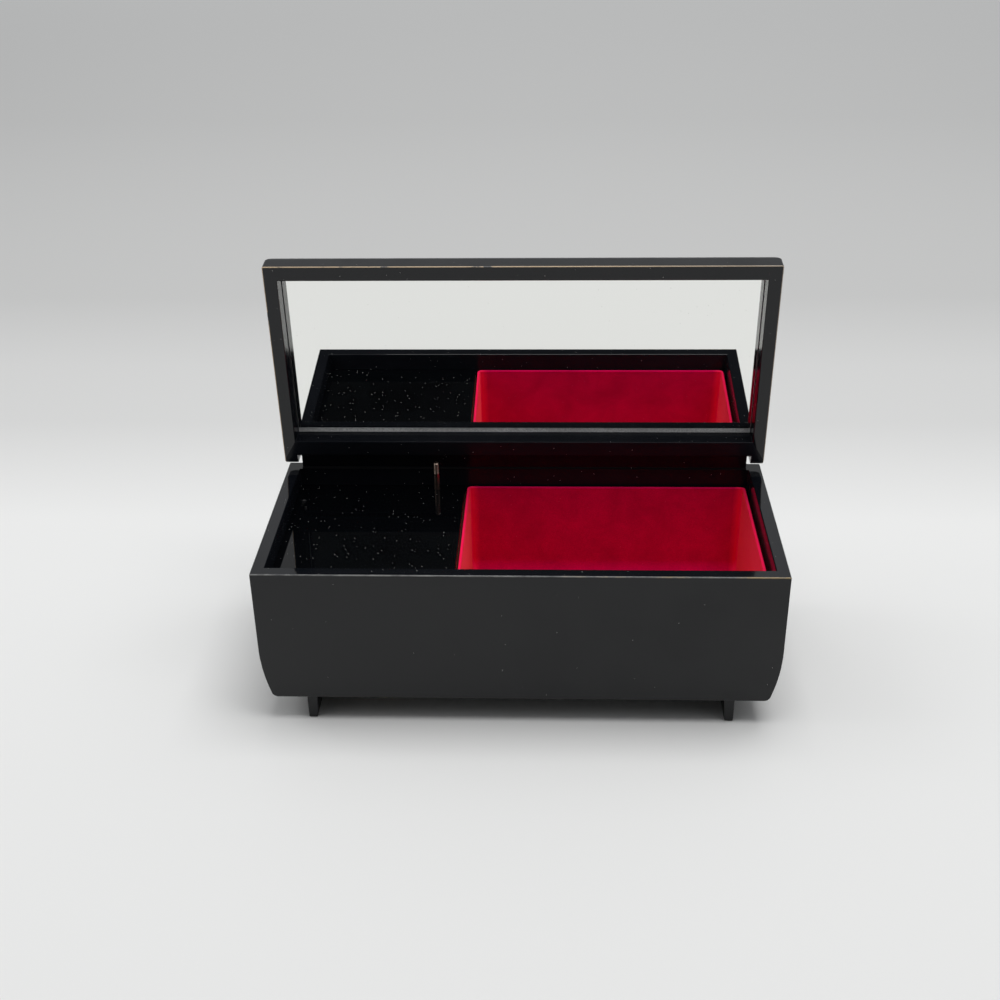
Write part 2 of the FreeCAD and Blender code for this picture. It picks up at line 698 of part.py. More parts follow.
bed_holes = [
    rod("arbor_bush", "z", "barrel_x", "barrel_y", "floor_z - 1",
        "arbor_thick / 2 + running_fit", "bed_thick + 2"),
    rod("front_bearing", "y", "barrel_x", "front_post_y - 1", "drum_z",
        "cylinder_arbor_thick / 2 + running_fit", "post_thick + 2"),
    rod("second_bearing", "y", "second_x", "second_post_y - 1", "drum_z",
        "pivot_thick / 2 + running_fit", "post_thick + 2"),
]
for number, (x, y) in enumerate(MOUNT_PLACES):
    bed_holes.append(rod("mount_thread_%d" % number, "z", x, y, "floor_z - 1",
                         "screw_thick / 2 + seat_fit", "bed_thick + boss_height + 2"))


def screw(name, x, y, head_z, thick, head, head_thick, shank, upwards=False):
    """A pan-head screw from the plane under its head, its shank down, or up if fitted from below."""
    shank_z = "%s" % head_z if upwards else "%s - %s" % (head_z, shank)
    cap_z = "%s - %s" % (head_z, head_thick) if upwards else head_z
    cap = rod(name + "_cap", "z", x, y, cap_z, "%s / 2" % head, head_thick)
    stem = rod(name + "_stem", "z", x, y, shank_z, "%s / 2" % thick, shank)
    whole = join(name + "_whole", cap, stem)
    slot_z = cap_z if upwards else "%s + %s / 2" % (cap_z, head_thick)
    slot = box(name + "_slot", "%s - %s / 2" % (x, head), "%s - %s / 10" % (y, head), slot_z,
               head, "%s / 5" % head, "%s / 2" % head_thick)
    return cut(name, whole, slot)


mount_shank = "(bottom_thick - screw_head_thick + bed_thick + boss_height - 1)"
node("movement_mounting_screws", set_of("movement_mounting_screws", *[
    screw("mount_screw_%d" % number, x, y, "(under_z + screw_head_thick)", "screw_thick", "screw_head",
          "screw_head_thick", mount_shank, upwards=True)
    for number, (x, y) in enumerate(MOUNT_PLACES)]))

# Comb: one steel plate, slotted into teeth that end a hair off the cylinder's pins.

comb_rows = ["drum_y + cylinder_length / 4", "drum_y + 3 * cylinder_length / 4"]
comb_blank = box("comb_blank", "comb_root_x - comb_heel", "drum_y", "comb_under_z",
                 "comb_tip_x - comb_root_x + comb_heel", "cylinder_length", "comb_thick")
comb_cuts = [box("comb_thinning", "comb_root_x", "drum_y - 1", "comb_under_z - 1",
                 "comb_tooth_length + 1", "cylinder_length + 2", "comb_thick - comb_tooth_thick + 1")]
for number in range(1, int(size("notes"))):
    comb_cuts.append(box("comb_slot_%02d" % number, "comb_root_x",
                         "drum_y + %d * cylinder_length / notes - comb_slot / 2" % number,
                         "comb_under_z - 1", "comb_tooth_length + 1", "comb_slot", "comb_thick + 2"))
comb_screw_x = "(comb_root_x - comb_heel / 2)"
for number, y in enumerate(comb_rows):
    comb_cuts.append(rod("comb_hole_%d" % number, "z", comb_screw_x, y, "comb_under_z - 1",
                         "screw_thick / 2 + running_fit", "comb_thick + 2"))
    bed_holes.append(rod("comb_thread_%d" % number, "z", comb_screw_x, y, "bed_z",
                         "screw_thick / 2 + seat_fit", "comb_under_z"))
node("note_comb", cut("note_comb", comb_blank, *comb_cuts))
node("comb_screws", set_of("comb_screws", *[
    screw("comb_screw_%d" % number, comb_screw_x, "(%s)" % y, "comb_top_z", "screw_thick", "screw_head",
          "screw_head_thick", "(comb_thick + block_grip)")
    for number, y in enumerate(comb_rows)]))

# Barrel bridge over the spring housing, on the two round posts.

bridge_blank = box("bridge_blank", "barrel_x - bridge_post_out - bridge_post / 2",
                   "barrel_y - bridge_width / 2", "bridge_z",
                   "2 * bridge_post_out + bridge_post", "bridge_width", "bridge_thick")
bridge_holes = [rod("bridge_bush", "z", "barrel_x", "barrel_y", "bridge_z - 1",
                    "arbor_thick / 2 + running_fit", "bridge_thick + 2")]
bridge_screws = []
for side, word in ((-1, "left"), (1, "right")):
    x = "(barrel_x + %d * bridge_post_out)" % side
    bridge_holes.append(rod("bridge_hole_%s" % word, "z", x, "barrel_y", "bridge_z - 1",
                            "small_screw / 2 + running_fit", "bridge_thick + 2"))
    bed_holes.append(rod("bridge_thread_%s" % word, "z", x, "barrel_y", "bed_z + bed_thick",
                         "small_screw / 2 + seat_fit", "bridge_z"))
    bridge_screws.append(screw("bridge_screw_%s" % word, x, "barrel_y", "(bridge_z + bridge_thick)",
                               "small_screw", "small_head", "small_head_thick",
                               "(bridge_thick + post_grip)"))
node("barrel_bridge", cut("barrel_bridge", bridge_blank, *bridge_holes))
node("bridge_screws", set_of("bridge_screws", *bridge_screws))

# Winding arbor with its ratchet wheel, and the key under the box.

arbor_top = "bridge_z + bridge_thick + arbor_end"
key_seat_z = "key_foot_z + key_height / 2"
node("winding_arbor", rod("winding_arbor", "z", "barrel_x", "barrel_y", key_seat_z, "arbor_thick / 2",
                          "%s - (%s)" % (arbor_top, key_seat_z)))


def star(count, profile):
    """A flat face from one tooth's outline in polar form, repeated round the axis."""
    points = []
    for tooth in range(count):
        turn = 2 * math.pi * tooth / count
        for radius, angle in profile:
            points.append(Vector(radius * math.cos(turn + angle), radius * math.sin(turn + angle), 0))
    return Part.Face(Part.makePolygon(points + points[:1]))


def bored(shape, bore):
    """A wheel with a round hole on its axis."""
    height = shape.BoundBox.ZMax - shape.BoundBox.ZMin
    return shape.cut(Part.makeCylinder(bore, height + 2, Vector(0, 0, shape.BoundBox.ZMin - 1)))


def involute(angle):
    return math.tan(angle) - angle


PRESSURE = math.radians(20)


def spur(count, module, face, bore, backlash):
    """A spur wheel whose flanks are the chords of involutes, so that meshed teeth never cross."""
    pitch = count * module / 2
    base = pitch * math.cos(PRESSURE)
    tip = pitch + size("spur_rise") * module
    root = pitch - size("spur_fall") * module
    half = (math.pi * module / 2 - backlash / 2) / (2 * pitch) + involute(PRESSURE)
    low = max(root, base)
    at_low = half - involute(math.acos(base / low))
    at_tip = half - involute(math.acos(base / tip))
    profile = [(root, -at_low), (low, -at_low), (tip, -at_tip),
               (tip, at_tip), (low, at_low), (root, at_low)]
    if near(root, low):
        profile = [profile[0]] + profile[2:4] + [profile[5]]
    wheel = star(count, profile).extrude(Vector(0, 0, face))
    return bored(wheel, bore) if bore else wheel


def turned_place(x, y, z, along, start=0.0):
    """A wheel's place: its axis along +Y or +Z, with its first tooth turned by start degrees."""
    return Placement(Vector(x, y, z), TURNS[along].multiply(Rotation(Vector(0, 0, 1), start)))


seat_bore_radius = size("arbor_thick") / 2 + size("seat_fit")
ratchet_count = int(size("ratchet_teeth"))
ratchet_step = 2 * math.pi / ratchet_count
ratchet_tip = size("ratchet_tip") / 2
ratchet_face = star(ratchet_count, [(size("ratchet_root") / 2, 0), (ratchet_tip, 0),
                                    (ratchet_tip, ratchet_step * size("ratchet_land"))])
ratchet = bored(ratchet_face.extrude(Vector(0, 0, size("ratchet_thick"))), seat_bore_radius)
barrel_spot = (size("barrel_x"), size("barrel_y"))
node("ratchet_wheel", coded("ratchet_wheel", ratchet, turned_place(*barrel_spot, size("ratchet_z"), "z")))

key_wing = box("key_wing_blank", "barrel_x - key_span / 2", "barrel_y - key_wing / 2", "key_foot_z",
               "key_span", "key_wing", "key_height")
key_soft = rounded("key_soft", key_wing, size("key_round"), lambda p, way: near(abs(way.y), 1))
key_hub = rod("key_hub", "z", "barrel_x", "barrel_y", "key_foot_z", "key_hub / 2", "key_height")
key_bore = rod("key_bore", "z", "barrel_x", "barrel_y", key_seat_z,
               "arbor_thick / 2 + seat_fit", "key_height")
node("winding_key", cut("winding_key", join("key_whole", key_soft, key_hub), key_bore))

# Click: a flat pawl on its screw, drawn at the top of its lift, riding the tips of the ratchet.

click_pivot_x = "(barrel_x + ratchet_tip / 2 + running_fit + click_thick)"
click_pivot_y = "(barrel_y - ratchet_tip)"
click_blade = box("click_blade", "barrel_x + ratchet_tip / 2 + running_fit", click_pivot_y, "ratchet_z",
                  "click_thick", "click_length", "ratchet_thick")
click_eye = rod("click_eye", "z", click_pivot_x, click_pivot_y, "ratchet_z",
                "small_head / 2", "ratchet_thick")
click_hole = rod("click_hole", "z", click_pivot_x, click_pivot_y, "ratchet_z - 1",
                 "small_screw / 2 + running_fit", "ratchet_thick + 2")
node("click", cut("click", join("click_whole", click_blade, click_eye), click_hole))
click_post = rod("click_post", "z", click_pivot_x, click_pivot_y, "bed_z - 1", "small_head / 2",
                 "ratchet_lift + 1 - running_fit")
bed_parts.append(click_post)
bed_holes.append(rod("click_thread", "z", click_pivot_x, click_pivot_y, "floor_z - 1",
                     "small_screw / 2 + seat_fit", "bed_thick + 4"))
node("click_screw", screw("click_screw", click_pivot_x, click_pivot_y,
                          "(ratchet_z + ratchet_thick + running_fit)", "small_screw", "small_head",
                          "small_head_thick", "(ratchet_thick + ratchet_lift + 1)"))

# Spring housing, its crown wheel on top, and the mainspring wound inside it.

housing_blank = rod("housing_blank", "z", "barrel_x", "barrel_y", "barrel_z",
                    "barrel_outer / 2", "barrel_height")
housing_hollow = rod("housing_hollow", "z", "barrel_x", "barrel_y", "barrel_z + barrel_wall",
                     "barrel_outer / 2 - barrel_wall", "barrel_height")
arbor_clear = rod("arbor_clear", "z", "barrel_x", "barrel_y", "barrel_z - 1",
                  "arbor_thick / 2 + running_fit", "barrel_height + 2")
node("spring_housing", cut("spring_housing", housing_blank, housing_hollow, arbor_clear))


def crown_wheel():
    """A disc with radial rack teeth standing on its face, for a pinion at right angles."""
    plate = Part.makeCylinder(size("barrel_outer") / 2, size("crown_plate"))
    module = size("crown_module")
    reach = size("crown_reach")
    face = size("crown_face")
    deep = size("tooth_deep")
    tall = size("tooth_tall")
    half = (math.pi * module / 2 - size("backlash")) / 2
    top = size("crown_plate")
    sunk = size("tooth_sunk")
    slope = math.tan(PRESSURE)
    foot = half + deep * slope
    tip = half - tall * slope
    outline = [(-foot, top - sunk), (-foot, top), (-tip, top + deep + tall),
               (tip, top + deep + tall), (foot, top), (foot, top - sunk)]
    start = reach - face / 2
    points = [Vector(start, across, height) for across, height in outline]
    tooth = Part.Face(Part.makePolygon(points + points[:1])).extrude(Vector(face, 0, 0))
    count = int(size("crown_teeth"))
    teeth = []
    for number in range(count):
        copy = tooth.copy()
        copy.rotate(Vector(), Vector(0, 0, 1), 360.0 * number / count)
        teeth.append(copy)
    return bored(plate.multiFuse(teeth).removeSplitter(), size("arbor_thick") / 2 + size("running_fit"))


# A crown tooth points straight at the pinion, so a gap of the pinion points straight down.
crown_turn = 90.0
node("housing_crown_wheel", coded("housing_crown_wheel", crown_wheel(),
                                  turned_place(*barrel_spot, size("crown_z"), "z", crown_turn)))


def mainspring():
    """A flat strip in half turns that grow by half a pitch each, from the arbor to the wall."""
    thick = size("spring_strip")
    step = size("spring_pitch") / 2
    inner = size("arbor_thick") / 2 + 2 * size("running_fit")
    halves = int(2 * size("spring_turns"))
    faces = []
    for number in range(halves):
        radius = inner + number * step
        centre = step if number % 2 else 0.0
        side = -1 if number % 2 else 1
        arcs = []
        for r in (radius, radius + thick):
            arcs.append(Part.Arc(Vector(centre + r, 0, 0), Vector(centre, side * r, 0),
                                 Vector(centre - r, 0, 0)).toShape())
        first = Part.LineSegment(arcs[0].Vertexes[0].Point, arcs[1].Vertexes[0].Point).toShape()
        last = Part.LineSegment(arcs[0].Vertexes[-1].Point, arcs[1].Vertexes[-1].Point).toShape()
        faces.append(Part.Face(Part.Wire(Part.__sortEdges__([arcs[0], last, arcs[1], first]))))
    print("mainspring: gap between turns %.2f mm" % (size("spring_pitch") - thick))
    height = size("barrel_height") - size("barrel_wall") - 4 * size("running_fit")
    solids = [face.extrude(Vector(0, 0, height)) for face in faces]
    return solids[0].multiFuse(solids[1:]).removeSplitter()


spring_z = size("barrel_z") + size("barrel_wall") + 2 * size("running_fit")
node("mainspring", coded("mainspring", mainspring(), turned_place(*barrel_spot, spring_z, "z")))

# Pinned cylinder and what turns with it on one arbor.


def pinned_cylinder():
    """A brass tube with closed ends and rows of pins, one row for each note of the comb."""
    outer = size("cylinder_thick") / 2
    length = size("cylinder_length")
    wall = size("cylinder_wall")
    tube = Part.makeCylinder(outer, length)
    hollow = Part.makeCylinder(outer - wall, length - 2 * wall, Vector(0, 0, wall))
    notes = int(size("notes"))
    strikes = 4
    golden = 137.5
    pins = []
    for note in range(notes):
        for strike in range(strikes):
            turn = (note * golden + strike * 360.0 / strikes) % 360.0
            pin = Part.makeCylinder(size("note_pin_thick") / 2, size("note_pin_rise") + wall / 2,
                                    Vector(outer - wall / 2, 0, (note + 0.5) * length / notes),
                                    Vector(1, 0, 0))
            pin.rotate(Vector(), Vector(0, 0, 1), turn)
            pins.append(pin)
    drum = tube.cut(hollow).multiFuse(pins)
    return bored(drum, size("cylinder_arbor_thick") / 2 + size("seat_fit"))


drum_spot = (size("barrel_x"), size("drum_y"), size("drum_z"))
node("pinned_cylinder", coded("pinned_cylinder", pinned_cylinder(), turned_place(*drum_spot, "y")))
node("cylinder_arbor", rod("cylinder_arbor", "y", "barrel_x", "pinion_y - running_fit", "drum_z",
                           "cylinder_arbor_thick / 2", "plate_y + plate_thick - pinion_y"))
drum_bore = size("cylinder_arbor_thick") / 2 + size("seat_fit")
pinion = spur(int(size("pinion_teeth")), size("crown_module"), size("pinion_face"), drum_bore,
              size("backlash"))
pinion_gap_down = 90.0 + 180.0 / size("pinion_teeth")
node("cylinder_pinion", coded("cylinder_pinion", pinion, turned_place(
    size("barrel_x"), size("pinion_y"), size("drum_z"), "y", pinion_gap_down)))
wheel = spur(int(size("wheel_teeth")), size("train_module"), size("wheel_face"), drum_bore,
             size("backlash"))
node("cylinder_wheel", coded("cylinder_wheel", wheel, turned_place(
    size("barrel_x"), size("wheel_y"), size("drum_z"), "y")))

# Second arbor: its leaves mesh with the cylinder wheel, and its worm wheel drives the governor.

leaf_gap_left = 180.0 + 180.0 / size("leaf_teeth")
leaves = spur(int(size("leaf_teeth")), size("train_module"), size("wheel_face"), 0, size("backlash"))
leaves_spot = (size("second_x"), size("wheel_y"), size("drum_z"))
leaf_part = coded("leaf_part", leaves, turned_place(*leaves_spot, "y", leaf_gap_left))
second_bar = rod("second_bar", "y", "second_x", "second_post_y + post_thick + running_fit", "drum_z",
                 "second_bar_thick / 2", "plate_y - second_post_y - post_thick - 2 * running_fit")
second_pivots = rod("second_pivots", "y", "second_x", "second_post_y", "drum_z",
                    "pivot_thick / 2", "plate_y + plate_thick - second_post_y")
node("intermediate_arbor", join("intermediate_arbor", second_bar, second_pivots, leaf_part))
worm_wheel = spur(int(size("worm_teeth")), size("train_module"), size("worm_face"),
                  size("second_bar_thick") / 2 + size("seat_fit"), 2 * size("backlash"))
node("worm_wheel", coded("worm_wheel", worm_wheel, turned_place(
    size("second_x"), size("worm_wheel_y"), size("drum_z"), "y")))


# Governor spindle with a one-start worm, the fan and the brake disc on it.

def worm_thread():
    """A right-hand thread round +Z, its middle at the origin and its start on +X."""
    module = size("train_module")
    pitch = math.pi * module
    length = pitch * size("worm_turns")
    core = size("spindle_thick") / 2
    middle = size("worm_pitch_thick") / 2
    tip = middle + size("worm_rise") * module
    half = (pitch / 2 - size("backlash")) / 2
    slope = math.tan(PRESSURE)
    foot = half + (middle - core) * slope
    crest = half - (tip - middle) * slope
    low = core - size("tooth_sunk")
    outline = [(low, -foot), (core, -foot), (tip, -crest), (tip, crest), (core, foot), (low, foot)]
    start = -length / 2
    points = [Vector(radius, 0, start + height) for radius, height in outline]
    profile = Part.makePolygon(points + points[:1])
    helix = Part.makeHelix(pitch, length, core)
    helix.translate(Vector(0, 0, start))
    return Part.Wire(helix.Edges).makePipeShell([profile], True, True)


governor_spot = (size("governor_x"), size("worm_line_y"))
# Half the worm's turns are turned back, so a gap of the thread faces the wheel's tooth at -X.
worm_turn = -180.0 * size("worm_turns")
worm_part = coded("worm_part", worm_thread(), turned_place(*governor_spot, size("drum_z"), "z", worm_turn))
spindle_low_z = "bed_z + bracket_lug + running_fit"
spindle_bar = rod("spindle_bar", "z", "governor_x", "worm_line_y", spindle_low_z, "spindle_thick / 2",
                  "lug_z - running_fit - (%s)" % spindle_low_z)
spindle_pivots = rod("spindle_pivots", "z", "governor_x", "worm_line_y", "bed_z + running_fit",
                     "pivot_thick / 2", "lug_z + bracket_lug - bed_z - running_fit")
node("governor_worm", join("governor_worm", spindle_bar, spindle_pivots, worm_part))

spindle_seat = rod("spindle_seat", "z", "governor_x", "worm_line_y", "bed_z",
                   "spindle_thick / 2 + seat_fit", "body_height")
fan_hub = rod("fan_hub_bar", "z", "governor_x", "worm_line_y", "fan_z",
              "fan_hub / 2", "fan_height - running_fit")
fan_blades = box("fan_blades", "governor_x - fan_span / 2", "worm_line_y - fan_blade / 2", "fan_z",
                 "fan_span", "fan_blade", "fan_height - running_fit")
node("governor_fan", cut("governor_fan", join("fan_whole", fan_hub, fan_blades), spindle_seat))
disc_blank = rod("disc_blank", "z", "governor_x", "worm_line_y", "disc_z", "disc_span / 2", "disc_thick")
node("brake_disc", cut("brake_disc", disc_blank, spindle_seat))

# Governor bracket: a C-shaped casting that carries both ends of the spindle.

bracket_x = "governor_x - post_width / 4"
bracket_wall_x = "bed_right_x - bracket_wall"
bracket_y = "worm_line_y - post_width / 4"
lug_run = "bed_right_x - (%s)" % bracket_x
bracket_parts = [
    box("bracket_web", bracket_wall_x, bracket_y, "bed_z", "bracket_wall", "post_width / 2",
        "lug_z + bracket_lug - bed_z"),
    box("low_lug", bracket_x, bracket_y, "bed_z", lug_run, "post_width / 2", "bracket_lug"),
    box("high_lug", bracket_x, bracket_y, "lug_z", lug_run, "post_width / 2", "bracket_lug"),
    box("bracket_tab", "bed_right_x - foot_tab", "worm_line_y - post_width / 4 - foot_tab", "bed_z",
        "foot_tab", "foot_tab + 1", "bracket_lug"),
]
bracket_screw_x = "(bed_right_x - foot_tab / 2)"
bracket_screw_y = "(worm_line_y - post_width / 4 - foot_tab / 2)"
bracket_holes = [
    rod("spindle_bearings", "z", "governor_x", "worm_line_y", "bed_z - 1",
        "pivot_thick / 2 + running_fit", "body_height"),
    rod("bracket_hole", "z", bracket_screw_x, bracket_screw_y, "bed_z - 1",
        "small_screw / 2 + running_fit", "bracket_lug + 2"),
]
node("governor_bracket", cut("governor_bracket", join("bracket_whole", *bracket_parts), *bracket_holes))
bed_holes.append(rod("bracket_thread", "z", bracket_screw_x, bracket_screw_y, "floor_z - 1",
                     "small_screw / 2 + seat_fit", "bed_thick + 2"))
node("governor_bracket_screw", screw("governor_bracket_screw", bracket_screw_x, bracket_screw_y,
                                     "(bed_z + bracket_lug)", "small_screw", "small_head",
                                     "small_head_thick", "(bracket_lug + bed_thick - thread_end_gap)"))

# Train plate: the rear bearings of the cylinder and of the second arbor.

plate_x = "barrel_x - post_width"
plate_run = "second_x - barrel_x + 1.5 * post_width"
plate_blank = box("plate_blank", plate_x, "plate_y", "bed_z", plate_run, "plate_thick",
                  "drum_z - bed_z + post_width / 2")
tab_places = ["(barrel_x - post_width + foot_tab / 2)", "(second_x + post_width / 2 - foot_tab / 2)"]
plate_parts = [plate_blank]
plate_holes = [
    rod("drum_rear_bearing", "y", "barrel_x", "plate_y - 1", "drum_z",
        "cylinder_arbor_thick / 2 + running_fit", "plate_thick + 2"),
    rod("second_rear_bearing", "y", "second_x", "plate_y - 1", "drum_z",
        "pivot_thick / 2 + running_fit", "plate_thick + 2"),
]
plate_screws = []
for number, x in enumerate(tab_places):
    plate_parts.append(box("plate_tab_%d" % number, "%s - foot_tab / 2" % x, "plate_y", "bed_z",
                           "foot_tab", "foot_tab", "plate_thick"))
    spot_y = "(plate_y + plate_thick + (foot_tab - plate_thick) / 2)"
    plate_holes.append(rod("plate_hole_%d" % number, "z", x, spot_y, "bed_z - 1",
                           "small_screw / 2 + running_fit", "plate_thick + 2"))
    bed_holes.append(rod("plate_thread_%d" % number, "z", x, spot_y, "floor_z - 1",
                         "small_screw / 2 + seat_fit", "bed_thick + 2"))
    plate_screws.append(screw("plate_screw_%d" % number, x, spot_y, "(bed_z + plate_thick)", "small_screw",
                              "plate_screw_head", "small_head_thick",
                              "(plate_thick + bed_thick - thread_end_gap)"))
node("train_plate", cut("train_plate", join("plate_whole", *plate_parts), *plate_holes))
node("train_plate_screws", set_of("train_plate_screws", *plate_screws))

node("movement_bedplate", cut("movement_bedplate", join("bed_whole", *bed_parts), *bed_holes))

DOC.recompute()
for obj in DOC.Objects:
    if {"Invalid", "Error"} & set(obj.State):
        raise RuntimeError("%s failed: %s" % (obj.Name, obj.State))
os.makedirs("parts", exist_ok=True)
for obj in NODES:
    shape = obj.Shape
    if shape.isNull() or not shape.isValid() or not shape.Solids:
        raise RuntimeError("%s has no valid solid" % obj.Label)
for obj in NODES:
    obj.Shape.exportStep("parts/%s.step" % obj.Label)
    bounds = obj.Shape.BoundBox
    print("%-26s solids %d  x %.2f..%.2f  y %.2f..%.2f  z %.2f..%.2f  volume %.1f" % (
        obj.Label, len(obj.Shape.Solids), bounds.XMin, bounds.XMax, bounds.YMin, bounds.YMax,
        bounds.ZMin, bounds.ZMax, obj.Shape.Volume))
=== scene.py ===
import math

import bpy
from mathutils import Matrix, Vector


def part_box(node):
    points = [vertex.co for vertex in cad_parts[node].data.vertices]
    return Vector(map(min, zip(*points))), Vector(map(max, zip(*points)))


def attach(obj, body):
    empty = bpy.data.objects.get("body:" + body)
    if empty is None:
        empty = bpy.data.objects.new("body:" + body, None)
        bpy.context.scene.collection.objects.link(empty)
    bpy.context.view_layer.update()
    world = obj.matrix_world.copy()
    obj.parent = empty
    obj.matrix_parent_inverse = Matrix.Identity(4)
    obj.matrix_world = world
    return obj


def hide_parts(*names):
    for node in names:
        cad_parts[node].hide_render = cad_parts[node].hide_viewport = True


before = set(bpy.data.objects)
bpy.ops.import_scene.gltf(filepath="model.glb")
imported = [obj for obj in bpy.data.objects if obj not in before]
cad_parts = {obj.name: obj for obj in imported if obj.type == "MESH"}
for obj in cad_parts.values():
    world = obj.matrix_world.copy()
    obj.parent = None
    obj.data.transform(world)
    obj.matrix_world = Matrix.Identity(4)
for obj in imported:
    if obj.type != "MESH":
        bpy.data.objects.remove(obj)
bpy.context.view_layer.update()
MM = 0.001

# The body's four walls: boards glued into one shell with curved flanks and a hinge rail on the back.
# They are lacquered black together, so no joint shows: satin outside, polished on the rim, soft inside.
# The corners are eased by hand, and along the front top edge they have worn through; that edge's grey is
# partly a painted highlight.

FRONT_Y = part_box("front_board")[0].y
BACK_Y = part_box("back_board")[1].y
RIM_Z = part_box("front_board")[1].z
UNDER_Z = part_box("front_board")[0].z
HALF_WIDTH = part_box("front_board")[1].x
BOARD = 5.0 * MM
BACK_BOARD = 5.5 * MM
BEND_TOP_Z = UNDER_Z + 23.0 * MM
BEND = 70.0 * MM
TOE = 2.5 * MM
HINGE_Y = (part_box("hinge_pins")[0].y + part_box("hinge_pins")[1].y) / 2
HINGE_Z = (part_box("hinge_pins")[0].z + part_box("hinge_pins")[1].z) / 2
RAIL_HALF = 93.8 * MM
RAIL_NOSE = 2.3 * MM
RAIL_SUNK = 3 * MM
OPEN = math.radians(85.66)
LEAN = math.pi / 2 - OPEN
ARRIS = 0.4 * MM
RELIEF_LENGTH = 20.2 * MM
RELIEF_DEPTH = 0.45 * MM
PAST_SIDE = 110 * MM
RAIL_BORE_R = 0.94 * MM
RAIL_BORE_LENGTH = 4.2 * MM
LOW_FLANK_X = 90 * MM
FLANK_X = 95.5 * MM
ROUND_SIDES = 48
FLANK_STEPS = 14
NOSE_STEPS = 10
ARC_STEPS = 8
POLISHED, OUTSIDE, WORN_AND_HIGHLIT, INSIDE = range(4)


def drawn(name, corners, pull):
    """A board sawn to an outline: the corners are drawn in turn, filled, and pulled to a thickness."""
    bpy.ops.object.select_all(action="DESELECT")
    bpy.ops.mesh.primitive_plane_add(size=MM)
    board = bpy.context.object
    board.name = name
    bpy.ops.object.mode_set(mode="EDIT")
    bpy.ops.mesh.select_mode(type="VERT")
    bpy.ops.mesh.merge(type="CENTER")
    bpy.ops.transform.translate(value=corners[0])
    for here, there in zip(corners, corners[1:]):
        step = Vector(there) - Vector(here)
        bpy.ops.mesh.extrude_region_move(TRANSFORM_OT_translate={"value": step})
    bpy.ops.mesh.select_all(action="SELECT")
    bpy.ops.mesh.edge_face_add()
    bpy.ops.mesh.extrude_region_move(TRANSFORM_OT_translate={"value": pull})
    bpy.ops.mesh.select_all(action="SELECT")
    bpy.ops.mesh.normals_make_consistent(inside=False)
    bpy.ops.object.mode_set(mode="OBJECT")
    return board


def block(name, low, high):
    """A squared block between two corners."""
    bpy.ops.object.select_all(action="DESELECT")
    middle = [(a + b) / 2 for a, b in zip(low, high)]
    bpy.ops.mesh.primitive_cube_add(size=1, location=middle, scale=[b - a for a, b in zip(low, high)])
    bpy.ops.object.transform_apply(location=True, rotation=True, scale=True)
    bpy.context.object.name = name
    return bpy.context.object


def dowel(name, middle, radius, length, along):
    """A round bar about a middle point."""
    turn = {"x": (0, math.pi / 2, 0), "y": (math.pi / 2, 0, 0), "z": (0, 0, 0)}[along]
    bpy.ops.object.select_all(action="DESELECT")
    bpy.ops.mesh.primitive_cylinder_add(vertices=ROUND_SIDES, radius=radius, depth=length,
                                        location=middle, rotation=turn)
    bpy.ops.object.transform_apply(location=True, rotation=True, scale=True)
    bpy.context.object.name = name
    return bpy.context.object


def chosen(piece):
    """Makes one piece the only one in hand."""
    bpy.ops.object.select_all(action="DESELECT")
    piece.select_set(True)
    bpy.context.view_layer.objects.active = piece


def worked(piece, kind, **settings):
    """Puts one modifier on a piece and applies it."""
    chosen(piece)
    made = piece.modifiers.new(kind.lower(), kind)
    for word, value in settings.items():
        setattr(made, word, value)
    bpy.ops.object.modifier_apply(modifier=made.name)


def carved(piece, tool, way="DIFFERENCE"):
    """Cuts a tool's shape out of a piece, or adds it, and puts the tool away."""
    worked(piece, "BOOLEAN", object=tool, operation=way, solver="EXACT")
    bpy.data.objects.remove(tool)


def eased(piece, width, steps=3, slot=-1):
    """Rounds the sharp corners of a piece, and gives those narrow faces a slot of their own."""
    while len(piece.data.materials) <= slot:
        piece.data.materials.append(None)
    worked(piece, "BEVEL", width=width, segments=steps, limit_method="ANGLE",
           angle_limit=math.radians(35), material=slot, use_clamp_overlap=False)


def smoothed(piece):
    """Soft shading on the rounds, true flats elsewhere."""
    chosen(piece)
    bpy.ops.object.shade_smooth_by_angle(angle=math.radians(40))
    worked(piece, "WEIGHTED_NORMAL", weight=100, keep_sharp=True)


def bent(middle_x, middle_z, radius, first, last, steps):
    """Points along an arc that turns downwards from one angle to another."""
    angles = [first + (last - first) * n / steps for n in range(steps + 1)]
    return [(middle_x + radius * math.cos(a), middle_z - radius * math.sin(a)) for a in angles]


def flank(half, bend, low_z, high_z, toe=0.0):
    """Outline of the body across its width: straight walls that bend in and turn at a toe."""
    lowest = math.asin((BEND_TOP_Z - low_z - toe) / (bend - toe))
    curve = bent(half - bend, BEND_TOP_Z, bend, 0, lowest, FLANK_STEPS)
    if toe:
        toe_x = half - bend + (bend - toe) * math.cos(lowest)
        curve += bent(toe_x, low_z + toe, toe, lowest, math.pi / 2, ARC_STEPS)[1:]
    return [(-half, high_z), (half, high_z)] + curve + [(-x, z) for x, z in reversed(curve)]


def across(outline, y):
    """Stands an outline up across the body, at one depth."""
    return [(x, y, z) for x, z in outline]


